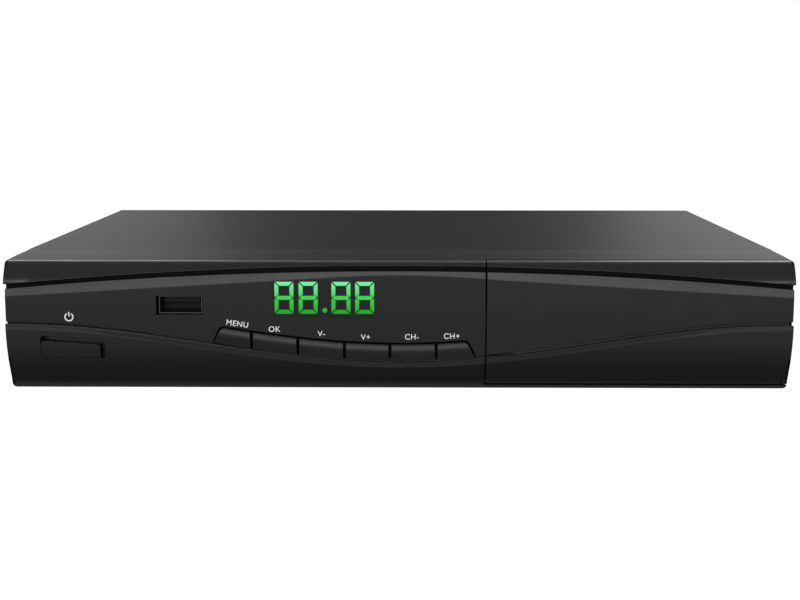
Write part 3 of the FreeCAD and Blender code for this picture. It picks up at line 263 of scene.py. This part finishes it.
material, tree, output = fresh("moulded_abs_black")
finish = surface(tree, 0.0005, 0.00001, 0.1, 0.0003)
satin = add(tree, "ShaderNodeBsdfPrincipled", Base_Color=linear("#131314"),
            Roughness=mottle(tree, 0.01, 0.27, 0.31), IOR=1.5, Specular_IOR_Level=0.2,
            Normal=finish)
# The darker, duller coat: painted shade in the groove and under the lip, a dull coat on the top and
# the ends.
dull_coat_and_painted_shade = add(tree, "ShaderNodeBsdfPrincipled", Base_Color=linear("#0B0B0B"),
             Roughness=mottle(tree, 0.01, 0.5, 0.51), IOR=1.45, Specular_IOR_Level=0.03,
             Normal=finish)
spot = add(tree, "ShaderNodeTexCoord").outputs["Object"]
split = add(tree, "ShaderNodeSeparateXYZ", Vector=spot)

# The groove: behind the front line, above the panel and under the top. Painted shade: the darker,
# duller coat stands in for the shade in the groove.
deep = add(tree, "ShaderNodeMath", {"operation": "GREATER_THAN"}, i0=split.outputs["Y"],
           i1=GROOVE_FROM)
high = add(tree, "ShaderNodeMapRange", Value=split.outputs["Z"], From_Min=GROOVE_ABOVE,
           From_Max=GROOVE_ABOVE + MM)
under = add(tree, "ShaderNodeMath", {"operation": "LESS_THAN"}, i0=split.outputs["Z"], i1=TOP_ABOVE)
groove_painted_shade = add(tree, "ShaderNodeMath", {"operation": "MULTIPLY"}, i0=deep.outputs[0],
             i1=high.outputs["Result"])
groove_painted_shade = add(tree, "ShaderNodeMath", {"operation": "MULTIPLY"}, i0=groove_painted_shade.outputs[0],
             i1=under.outputs[0])

# The top: it turns darker and duller behind the rounded front edge.
back = add(tree, "ShaderNodeMapRange", Value=split.outputs["Y"], From_Min=TOP_FROM,
           From_Max=TOP_WHOLE)
over = add(tree, "ShaderNodeMath", {"operation": "GREATER_THAN"}, i0=split.outputs["Z"],
           i1=TOP_ABOVE)
top = add(tree, "ShaderNodeMath", {"operation": "MULTIPLY"}, i0=back.outputs["Result"],
          i1=over.outputs[0])

# The two end faces.
side = add(tree, "ShaderNodeMath", {"operation": "ABSOLUTE"}, i0=split.outputs["X"])
far_out = add(tree, "ShaderNodeMath", {"operation": "GREATER_THAN"}, i0=side.outputs[0],
              i1=END_FROM)
ends = add(tree, "ShaderNodeMath", {"operation": "MULTIPLY"}, i0=far_out.outputs[0],
           i1=deep.outputs[0])

# The face under the lip: painted shade, darker and duller downwards, from the foot of the lip on,
# whose line hangs like a wave, and less so on the bottom bevel.
side = add(tree, "ShaderNodeMath", {"operation": "MINIMUM"}, i0=side.outputs[0], i1=LINE_REACH)
turn = add(tree, "ShaderNodeMath", {"operation": "MULTIPLY"}, i0=side.outputs[0],
           i1=math.pi / LINE_REACH)
swell = add(tree, "ShaderNodeMath", {"operation": "COSINE"}, i0=turn.outputs[0])
line = add(tree, "ShaderNodeMath", {"operation": "MULTIPLY_ADD"}, i0=swell.outputs[0],
           i1=-LINE_DROP / 2, i2=LINE_END - LINE_DROP / 2)
below = add(tree, "ShaderNodeMath", {"operation": "SUBTRACT"}, i0=line.outputs[0],
            i1=split.outputs["Z"])
painted_shade_fade = add(tree, "ShaderNodeMapRange", Value=split.outputs["Z"], From_Min=APRON_FROM,
           From_Max=APRON_WHOLE, To_Min=0.0, To_Max=APRON_SHADE_SHARE)
past = add(tree, "ShaderNodeMath", {"operation": "GREATER_THAN"}, i0=below.outputs[0], i1=LIP_FOOT)
low = add(tree, "ShaderNodeMath", {"operation": "MULTIPLY"}, i0=painted_shade_fade.outputs["Result"],
          i1=past.outputs[0])
bevel = add(tree, "ShaderNodeMapRange", Value=split.outputs["Z"], From_Min=BEVEL_BELOW,
            From_Max=BEVEL_BELOW + MM, To_Min=BEVEL_SHADE_SHARE, To_Max=1.0)
apron_painted_shade = add(tree, "ShaderNodeMath", {"operation": "MULTIPLY"}, i0=low.outputs[0],
            i1=bevel.outputs["Result"])

# Where the darker, duller coat goes: painted shade in the groove and under the lip, dull coat on
# the top and ends.
share = add(tree, "ShaderNodeMath", {"operation": "MAXIMUM"}, i0=groove_painted_shade.outputs[0],
            i1=top.outputs[0])
share = add(tree, "ShaderNodeMath", {"operation": "MAXIMUM"}, i0=share.outputs[0],
            i1=apron_painted_shade.outputs[0])
share = add(tree, "ShaderNodeMath", {"operation": "MAXIMUM"}, i0=share.outputs[0],
            i1=ends.outputs[0])
mixed = add(tree, "ShaderNodeMixShader", i0=share.outputs[0], i1=satin.outputs[0],
            i2=dull_coat_and_painted_shade.outputs[0])
tree.links.new(mixed.outputs[0], output.inputs["Surface"])
wear(["front_fascia", "flap_door", "power_button"], material)


# Six key caps. Moulded ABS in the same black, each domed a little and sprung on its own switch.
# They are a trace smoother than the front, so each has a soft light along its upper edge.

keycap = plastic("moulded_keycap_black", "#121213", 0.28, period=0.0005, depth=0.00001,
                 strength=0.1, edge=0.0005, ior=1.5, level=0.14)
wear([n for n in nodes if n.startswith("key_")], keycap)


# Display panel. A smoked acrylic strip, satin on its face, that hides the dark works behind it and
# lets the lit digits through.

def inside(tree, low, high, edge):
    """1 between two limits of X and Z, 0 beyond them, with a soft edge."""
    spot = add(tree, "ShaderNodeTexCoord").outputs["Object"]
    split = add(tree, "ShaderNodeSeparateXYZ", Vector=spot)
    value = 1.0
    for axis, start, end in (("X", low.x, high.x), ("Z", low.z, high.z)):
        rise = add(tree, "ShaderNodeMapRange", Value=split.outputs[axis], From_Min=start - edge,
                   From_Max=start)
        fall = add(tree, "ShaderNodeMapRange", Value=split.outputs[axis], From_Min=end + edge,
                   From_Max=end)
        both = add(tree, "ShaderNodeMath", {"operation": "MULTIPLY"}, i0=rise.outputs["Result"],
                   i1=fall.outputs["Result"])
        value = add(tree, "ShaderNodeMath", {"operation": "MULTIPLY"}, i0=both.outputs[0],
                    i1=value).outputs[0]
    return value


DIGITS_LOW, DIGITS_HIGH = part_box("display_segments")
WINDOW_MARGIN = Vector((0.3 * MM, 0, 0.3 * MM))
WINDOW_CLEAR = 0.7
material, tree, output = fresh("smoked_acrylic")
body = add(tree, "ShaderNodeBsdfPrincipled", Base_Color=linear("#131314"), Roughness=0.28, IOR=1.49,
           Specular_IOR_Level=0.2, Normal=surface(tree, 0.0005, 0.00001, 0.08, 0.0002))
window = inside(tree, DIGITS_LOW - WINDOW_MARGIN, DIGITS_HIGH + WINDOW_MARGIN, 0.0006)
share = add(tree, "ShaderNodeMath", {"operation": "MULTIPLY"}, i0=window, i1=WINDOW_CLEAR)
clear = add(tree, "ShaderNodeBsdfTransparent", Color=share.outputs[0])
both = add(tree, "ShaderNodeAddShader", i0=body.outputs[0], i1=clear.outputs[0])
through = add(tree, "ShaderNodeBsdfTransparent")
side = add(tree, "ShaderNodeNewGeometry")
mixed = add(tree, "ShaderNodeMixShader", i0=side.outputs["Backfacing"], i1=both.outputs[0],
            i2=through.outputs[0])
tree.links.new(mixed.outputs[0], output.inputs["Surface"])
wear(["display_lens"], material)


# Display block, infrared receiver and key switches. Moulded black styrene, soldered to the board
# behind the front and so dull that nothing of it shows through the smoked panel.

behind = plastic("black_styrene", "#020202", 0.8, level=0.0)
wear(["display_module", "ir_receiver", "tact_switches"], behind)


# Digits. Light-emitting bars in the face of the display block. They fade from pale green at the top
# to full green at the bottom, and are the only colour on the front.

DIGIT_GLOW = 1.32

material, tree, output = fresh("lit_green_bars")
spot = add(tree, "ShaderNodeTexCoord").outputs["Object"]
split = add(tree, "ShaderNodeSeparateXYZ", Vector=spot)
height = add(tree, "ShaderNodeMapRange", Value=split.outputs["Z"], From_Min=DIGITS_LOW.z,
             From_Max=DIGITS_HIGH.z)
ramp = add(tree, "ShaderNodeValToRGB", Fac=height.outputs["Result"])
ramp.color_ramp.elements[0].color = linear("#03A605")
ramp.color_ramp.elements[1].color = linear("#7CF8A8")
middle = ramp.color_ramp.elements.new(0.5)
middle.color = linear("#2FD446")
shine = add(tree, "ShaderNodeEmission", Color=ramp.outputs["Color"], Strength=DIGIT_GLOW)
tree.links.new(shine.outputs[0], output.inputs["Surface"])
wear(["display_segments"], material)


# Circuit boards. Glass-fibre laminate under a lacquer, green on the main board and black behind the
# front, and brown paper laminate on the mains board. The lacquer is glossy enough to show edges.

wear(["main_board"], plastic("green_solder_mask", "#1C5A34", 0.35, variation=0.2))
wear(["front_board"], plastic("black_solder_mask", "#0B0D0C", 0.5, variation=0.1, level=0.2))
wear(["supply_board"], plastic("brown_paper_laminate", "#8A5A2B", 0.6, variation=0.15))


# Chips. Moulded black epoxy, soldered flat on the main board. Their tops are dull and fine-grained,
# a little lighter than the case around them.

wear(["main_processor", "memory_chips"], plastic("chip_epoxy", "#202020", 0.5))


# Plastic bodies of the sockets and of the mains switch. Moulded black nylon, matt inside, and the
# switch's rocker a little smoother than its frame.

wear(["usb_tongue"], plastic("tongue_nylon_black", "#060606", 0.5, level=0.12))
wear(["card_reader", "jack_block", "ethernet_socket", "mains_inlet", "rocker_frame",
      "optical_socket"], plastic("socket_nylon_black", "#141414", 0.45))
wear(["rocker_switch"], plastic("rocker_black", "#161616", 0.3))


# Coloured inserts of the round jacks. Moulded nylon, dyed through and pressed into the shells, in
# one clear colour for each signal.

INSERT_COLOURS = {
    "white": "#E9E7DF",
    "red": "#B5121B",
    "yellow": "#F0B400",
    "blue": "#1C3FA8",
    "green": "#1E8B3B",
}
for colour, dye in INSERT_COLOURS.items():
    wear([f"jack_insert_{colour}"], plastic(f"insert_{colour}", dye, 0.35))


# Plugs and wires. Ivory nylon plugs on the boards, a grey vinyl flat cable, and red vinyl wires,
# all with the soft shine of moulded or drawn plastic.

wear(["board_headers"], plastic("header_nylon_white", "#E5DFCF", 0.5))
wear(["ribbon_cable"], plastic("ribbon_vinyl_grey", "#9A9A98", 0.5))
wear(["internal_wires"], plastic("wire_vinyl_red", "#A3201C", 0.45))


# Capacitors. Aluminium cans in a shrunk sleeve of dark blue vinyl, soldered upright. The sleeve is
# smooth and shiny.

wear(["board_capacitors", "bulk_capacitor", "output_capacitors"],
     plastic("capacitor_sleeve_navy", "#141B33", 0.3))


# Transformer. A ferrite core, pressed and fired, around a bobbin wound with wire and yellow tape.
# The core is dull and gritty, and the tape has a soft shine.

wear(["transformer_core"], plastic("ferrite_dark", "#26262A", 0.7, variation=0.2))
wear(["transformer_winding"], plastic("winding_tape_yellow", "#D8B321", 0.4))


# Insulating film and feet. A die-cut sheet of black polycarbonate under the mains board, and four
# black rubber feet with a dry, dead surface.

wear(["insulation_film"], plastic("film_polycarbonate_black", "#101010", 0.35))
wear(["feet"], plastic("foot_rubber_black", "#151515", 0.8, strength=0.5))


# Steel tray, tuner can and shell of the serial socket. Stamped and folded tinned steel, pale, with
# fine rolling marks.

def metal(name, colour, roughness, stretch=(1, 1, 1), period=0.0004, strength=0.12, edge=0.0002):
    """A bare metal with a fine brushed or rolled texture along the stretched direction."""
    material, tree, output = fresh(name)
    spot = add(tree, "ShaderNodeTexCoord").outputs["Object"]
    mapping = add(tree, "ShaderNodeMapping", Vector=spot, Scale=stretch)
    noise = add(tree, "ShaderNodeTexNoise", Vector=mapping.outputs[0], Scale=1 / period, Detail=2.0)
    corner = add(tree, "ShaderNodeBevel", {"samples": 6}, Radius=edge)
    bump = add(tree, "ShaderNodeBump", Height=noise.outputs["Fac"], Distance=0.00001,
               Strength=strength, Normal=corner.outputs["Normal"])
    shader = add(tree, "ShaderNodeBsdfPrincipled", Base_Color=linear(colour), Metallic=1.0,
                 Roughness=mottle(tree, 0.008, roughness - 0.05, roughness + 0.05),
                 Normal=bump.outputs["Normal"])
    tree.links.new(shader.outputs[0], output.inputs["Surface"])
    return material


wear(["chassis_tray", "tuner_can", "serial_shell"], metal("tinned_steel", "#B9BABC", 0.35))


# Small nickel-plated pieces. Dark drawn shells of the front and picture sockets, and bright turned
# or pressed shells, pins, posts and screws.

wear(["usb_shell", "hdmi_socket"], metal("nickel_shell", "#3C3C3E", 0.45))
wear(["jack_shells", "serial_jackscrews", "inlet_pins", "standoffs", "board_screws"],
     metal("nickel_plate", "#C4C0B4", 0.25))


# Case screws. Cross-head steel screws through the cover and the rear panel, blackened to go with
# them, and just shiny enough to show their heads.

wear(["case_screws"], metal("blackened_screw", "#2A2A2B", 0.4))


# Heat sinks. A black anodised extrusion with long fins on the processor, and a bare aluminium sheet
# on the mains board.

wear(["heat_sink"], metal("black_anodised", "#2A2A2C", 0.45, stretch=(1, 0.05, 1)))
wear(["supply_heat_sink"], metal("aluminium_sheet", "#C5C7C9", 0.35))


# Choke and fuse. A ring wound with enamelled copper wire, which has a warm, glossy look, and a fuse
# in bright plated clips.

wear(["line_choke"], metal("enamelled_copper", "#A8552B", 0.3))
wear(["mains_fuse"], metal("fuse_caps", "#C8C8C6", 0.2))


# Function words on the front. White pad-printed ink over the keys, a few hundredths of a
# millimetre thick, so they stand a hair off the face.

PRINT_THICK = 0.00003
PRINT_SPREAD = 0.00002
CAPITAL_SHARE = 0.72  # height of a capital letter in a font of size 1
LETTER_SPACING = 1.08  # as a share of the font's own
FRONT_TURN = (math.pi / 2, 0)
LENS_FACE_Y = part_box("display_lens")[0].y
LENS_UPRIGHT = 14 * MM  # height of the panel's upright part
LENS_CURVE = 0.24  # twice the radius of the face's backward curve below it

print_white, tree, output = fresh("pad_print_white")
spot = add(tree, "ShaderNodeTexCoord").outputs["Object"]
speckle = add(tree, "ShaderNodeTexNoise", Vector=spot, Scale=5000, Detail=3.0, Roughness=0.6)
bump = add(tree, "ShaderNodeBump", Height=speckle.outputs["Fac"], Distance=0.00001, Strength=0.2)
shader = add(tree, "ShaderNodeBsdfPrincipled", Base_Color=linear("#E2E2E2"), Roughness=0.5,
             Normal=bump.outputs["Normal"])
tree.links.new(shader.outputs[0], output.inputs["Surface"])


def settle(piece):
    """Bakes a piece's place into its mesh and leaves its object at the origin."""
    bpy.context.view_layer.update()
    piece.data.transform(piece.matrix_world)
    piece.matrix_world.identity()


def dress(piece, name, material, body="case"):
    """Names a finished piece, gives it its finish and lets it ride on a body."""
    piece.name = name
    piece.data.materials.clear()
    piece.data.materials.append(material)
    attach(piece, body)


def face_y(down):
    """How far back the panel's face lies at a height below the cover's top."""
    below = max(0.0, down - LENS_UPRIGHT)
    return LENS_FACE_Y + below * below / LENS_CURVE


def printed(name, words, spot, high, turn, tilt=0.0):
    """Words printed upright, centred at a spot."""
    bpy.ops.object.select_all(action="DESELECT")
    bpy.ops.object.text_add()
    piece = bpy.context.object
    piece.data.body = words
    piece.data.align_x = "CENTER"
    piece.data.align_y = "CENTER"
    piece.data.size = high / CAPITAL_SHARE
    piece.data.extrude = PRINT_THICK
    piece.data.offset = PRINT_SPREAD
    piece.data.space_character = LETTER_SPACING
    piece.rotation_euler = (turn[0], tilt, turn[1])
    piece.location = spot
    bpy.ops.object.convert(target="MESH")
    settle(piece)
    dress(piece, name, print_white)


LABEL_HIGH = 1.72 * MM
LABELS = {
    "label_menu": ("MENU", -49.2, 19.8, 8),
    "label_ok": ("OK", -37.9, 21.5, 0),
    "label_volume_down": ("V-", -23.5, 22.9, 0),
    "label_volume_up": ("V+", -10.0, 23.95, 0),
    "label_channel_down": ("CH-", 4.1, 23.85, 0),
    "label_channel_up": ("CH+", 16.3, 23.6, 0),
}
for name, (words, across, down, tilt) in LABELS.items():
    spot = (across * MM, face_y(down * MM) - PRINT_THICK, COVER_TOP - down * MM)
    printed(name, words, spot, LABEL_HIGH, FRONT_TURN, math.radians(tilt))


# Standby sign over the button. The same white ink: an open ring with a bar through its gap.

STANDBY_X = -100.6 * MM
STANDBY_Z = COVER_TOP - 17.7 * MM
RING_OUTER = 1.4 * MM
RING_INNER = 1.0 * MM
GAP_HALF = math.radians(32)
BAR_HIGH = 1.35 * MM
BAR_MIDDLE = 0.85 * MM

bpy.ops.object.select_all(action="DESELECT")
bpy.ops.mesh.primitive_circle_add(vertices=64, radius=RING_OUTER, rotation=(math.pi / 2, 0, 0))
ring = bpy.context.object
settle(ring)
bpy.ops.object.mode_set(mode="EDIT")
bpy.ops.mesh.select_all(action="SELECT")
bpy.ops.mesh.extrude_region_move()
bpy.ops.transform.resize(value=(RING_INNER / RING_OUTER,) * 3)
bpy.ops.mesh.select_all(action="DESELECT")
bpy.ops.object.mode_set(mode="OBJECT")
for face in ring.data.polygons:
    face.select = abs(math.atan2(face.center.x, face.center.z)) < GAP_HALF
bpy.ops.object.mode_set(mode="EDIT")
bpy.ops.mesh.select_mode(type="FACE")
bpy.ops.mesh.delete(type="FACE")
bpy.ops.mesh.select_all(action="SELECT")
bpy.ops.mesh.extrude_region_move(TRANSFORM_OT_translate={"value": (0, -PRINT_THICK, 0)})
bpy.ops.object.mode_set(mode="OBJECT")

bpy.ops.object.select_all(action="DESELECT")
bpy.ops.mesh.primitive_plane_add(size=1, rotation=(math.pi / 2, 0, 0))
bar = bpy.context.object
bar.scale = (RING_OUTER - RING_INNER, BAR_HIGH, 1)
bar.location = (0, 0, BAR_MIDDLE)
settle(bar)
bpy.ops.object.mode_set(mode="EDIT")
bpy.ops.mesh.select_all(action="SELECT")
bpy.ops.mesh.extrude_region_move(TRANSFORM_OT_translate={"value": (0, -PRINT_THICK, 0)})
bpy.ops.object.mode_set(mode="OBJECT")
ring.select_set(True)
bpy.context.view_layer.objects.active = ring
bpy.ops.object.join()
ring.location = (STANDBY_X, LENS_FACE_Y, STANDBY_Z)
settle(ring)
bpy.ops.object.mode_set(mode="EDIT")
bpy.ops.mesh.select_all(action="SELECT")
bpy.ops.mesh.normals_make_consistent(inside=False)
bpy.ops.object.mode_set(mode="OBJECT")
dress(ring, "standby_mark", print_white)


# Function words on the rear panel. White screen-printed ink beside each socket.

REAR_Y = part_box("rear_panel")[1].y
REAR_HIGH = 1.7 * MM
BACK_TURN = (math.pi / 2, math.pi)
REAR_WORDS = {
    "rear_aerial_in": ("LNB IN", -106, 30.8),
    "rear_aerial_out": ("LOOP", -86, 30.8),
    "rear_optical": ("OPTICAL", -66, 36.4),
    "rear_network": ("NETWORK", -44, 26.3),
    "rear_serial": ("SERIAL", -14, 25.6),
    "rear_left": ("L", 10, 24.5),
    "rear_right": ("R", 24, 24.5),
    "rear_video": ("VIDEO", 38, 24.5),
    "rear_mains": ("AC IN", 94, 35.6),
}
for name, (words, across, up) in REAR_WORDS.items():
    printed(name, words, (across * MM, REAR_Y + PRINT_THICK, up * MM), REAR_HIGH, BACK_TURN)


# Serial socket's insert. Black moulded nylon behind the steel nose, with nine gold-plated barrels
# in two rows, pressed in from the back.

NOSE_FACE_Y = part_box("serial_shell")[1].y
NOSE_X = -14 * MM
NOSE_Z = 17 * MM
INSERT_HALF_X = 7.4 * MM
INSERT_HALF_Y = 0.25 * MM
INSERT_HALF_Z = 3.1 * MM
INSERT_CORNER = 1.6 * MM
BARREL_R = 0.65 * MM
BARREL_WALL = 0.2 * MM
BARREL_LONG = 0.3 * MM
BORE_DEEP = 0.22 * MM
BARREL_PROUD = 0.18 * MM
PIN_PITCH = 2.77 * MM
ROW_HALF = 1.42 * MM

bpy.ops.object.select_all(action="DESELECT")
bpy.ops.mesh.primitive_cube_add(size=2)
insert = bpy.context.object
insert.scale = (INSERT_HALF_X, INSERT_HALF_Y, INSERT_HALF_Z)
insert.location = (NOSE_X, NOSE_FACE_Y, NOSE_Z)
settle(insert)
bpy.ops.object.mode_set(mode="EDIT")
bpy.ops.mesh.select_mode(type="EDGE")
bpy.ops.mesh.select_all(action="DESELECT")
bpy.ops.object.mode_set(mode="OBJECT")
for edge in insert.data.edges:
    a, b = (insert.data.vertices[n].co for n in edge.vertices)
    edge.select = abs(a.x - b.x) < 1e-6 and abs(a.z - b.z) < 1e-6
bpy.ops.object.mode_set(mode="EDIT")
bpy.ops.mesh.bevel(offset=INSERT_CORNER, segments=6, affect="EDGES")
bpy.ops.object.mode_set(mode="OBJECT")
dress(insert, "serial_insert", plastic("socket_nylon_insert", "#121212", 0.5))

bpy.ops.object.select_all(action="DESELECT")
bpy.ops.mesh.primitive_cylinder_add(vertices=20, radius=BARREL_R, depth=BARREL_LONG,
                                    rotation=(math.pi / 2, 0, 0))
barrel = bpy.context.object
settle(barrel)
bpy.ops.object.mode_set(mode="EDIT")
bpy.ops.mesh.select_mode(type="FACE")
bpy.ops.mesh.select_all(action="DESELECT")
bpy.ops.object.mode_set(mode="OBJECT")
for face in barrel.data.polygons:
    face.select = face.normal.y > 0.9
bpy.ops.object.mode_set(mode="EDIT")
bpy.ops.mesh.inset(thickness=BARREL_WALL)
bpy.ops.mesh.extrude_region_move(TRANSFORM_OT_translate={"value": (0, -BORE_DEEP, 0)})
bpy.ops.object.mode_set(mode="OBJECT")
gold = metal("gold_plate", "#D9A441", 0.3)
spots = [((n - 2) * PIN_PITCH, ROW_HALF) for n in range(5)]
spots += [((n - 1.5) * PIN_PITCH, -ROW_HALF) for n in range(4)]
for number, (across, up) in enumerate(spots):
    copy = barrel.copy()
    copy.data = barrel.data.copy()
    bpy.context.scene.collection.objects.link(copy)
    copy.location = (NOSE_X + across, NOSE_FACE_Y + BARREL_PROUD, NOSE_Z + up)
    settle(copy)
    dress(copy, f"serial_barrel_{number}", gold)
bpy.data.objects.remove(barrel)


# Network socket's springs. Eight gold-plated wires that run in from the mouth's floor and rise to
# the back, where they press on a plug.

SPRING_WIDE = 0.45 * MM
SPRING_PITCH = 1.02 * MM
SPRING_X = -44 * MM
SPRING_FOOT = Vector((0, 78, 12.95)) * MM
SPRING_THICK = 0.3 * MM
FOOT_LONG = 3 * MM
SPRING_BENDS = [(-1.2, 0.5), (-4.5, 3.2), (-1.5, 0.4)]  # steps inward and up, in mm

bpy.ops.object.select_all(action="DESELECT")
bpy.ops.mesh.primitive_cube_add(size=1)
spring = bpy.context.object
spring.scale = (SPRING_WIDE, FOOT_LONG, SPRING_THICK)
spring.location = SPRING_FOOT
settle(spring)
bpy.ops.object.mode_set(mode="EDIT")
bpy.ops.mesh.select_mode(type="FACE")
bpy.ops.mesh.select_all(action="DESELECT")
bpy.ops.object.mode_set(mode="OBJECT")
for face in spring.data.polygons:
    face.select = face.normal.y < -0.9
bpy.ops.object.mode_set(mode="EDIT")
for inward, rise in SPRING_BENDS:
    bpy.ops.mesh.extrude_region_move(
        TRANSFORM_OT_translate={"value": (0, inward * MM, rise * MM)}
    )
bpy.ops.mesh.select_all(action="SELECT")
bpy.ops.mesh.bevel(offset=0.06 * MM, segments=1, affect="EDGES")
bpy.ops.object.mode_set(mode="OBJECT")
for number in range(8):
    copy = spring.copy()
    copy.data = spring.data.copy()
    bpy.context.scene.collection.objects.link(copy)
    copy.location = (SPRING_X + (number - 3.5) * SPRING_PITCH, 0, 0)
    settle(copy)
    dress(copy, f"network_spring_{number}", gold)
bpy.data.objects.remove(spring)


# Aerial connectors. Turned brass, nickel plated, with a rolled thread of 1 mm pitch that a screw-on
# plug grips.

THREAD_PITCH = 1 * MM
THREAD_FROM = REAR_Y + 2.3 * MM
WAVE_PERIOD = math.pi / 10  # length of one band of the wave texture at scale 1

material, tree, output = fresh("nickel_thread")
spot = add(tree, "ShaderNodeTexCoord").outputs["Object"]
wave = add(tree, "ShaderNodeTexWave", {"bands_direction": "Y"}, Vector=spot,
           Scale=WAVE_PERIOD / THREAD_PITCH)
split = add(tree, "ShaderNodeSeparateXYZ", Vector=spot)
threaded = add(tree, "ShaderNodeMath", {"operation": "GREATER_THAN"}, i0=split.outputs["Y"],
               i1=THREAD_FROM)
depth = add(tree, "ShaderNodeMath", {"operation": "MULTIPLY"}, i0=wave.outputs["Fac"],
            i1=threaded.outputs[0])
bump = add(tree, "ShaderNodeBump", Height=depth.outputs[0], Distance=0.0003, Strength=1.0)
shader = add(tree, "ShaderNodeBsdfPrincipled", Base_Color=linear("#C4C0B4"), Metallic=1.0,
             Roughness=0.28, Normal=bump.outputs["Normal"])
tree.links.new(shader.outputs[0], output.inputs["Surface"])
wear(["aerial_connectors"], material)
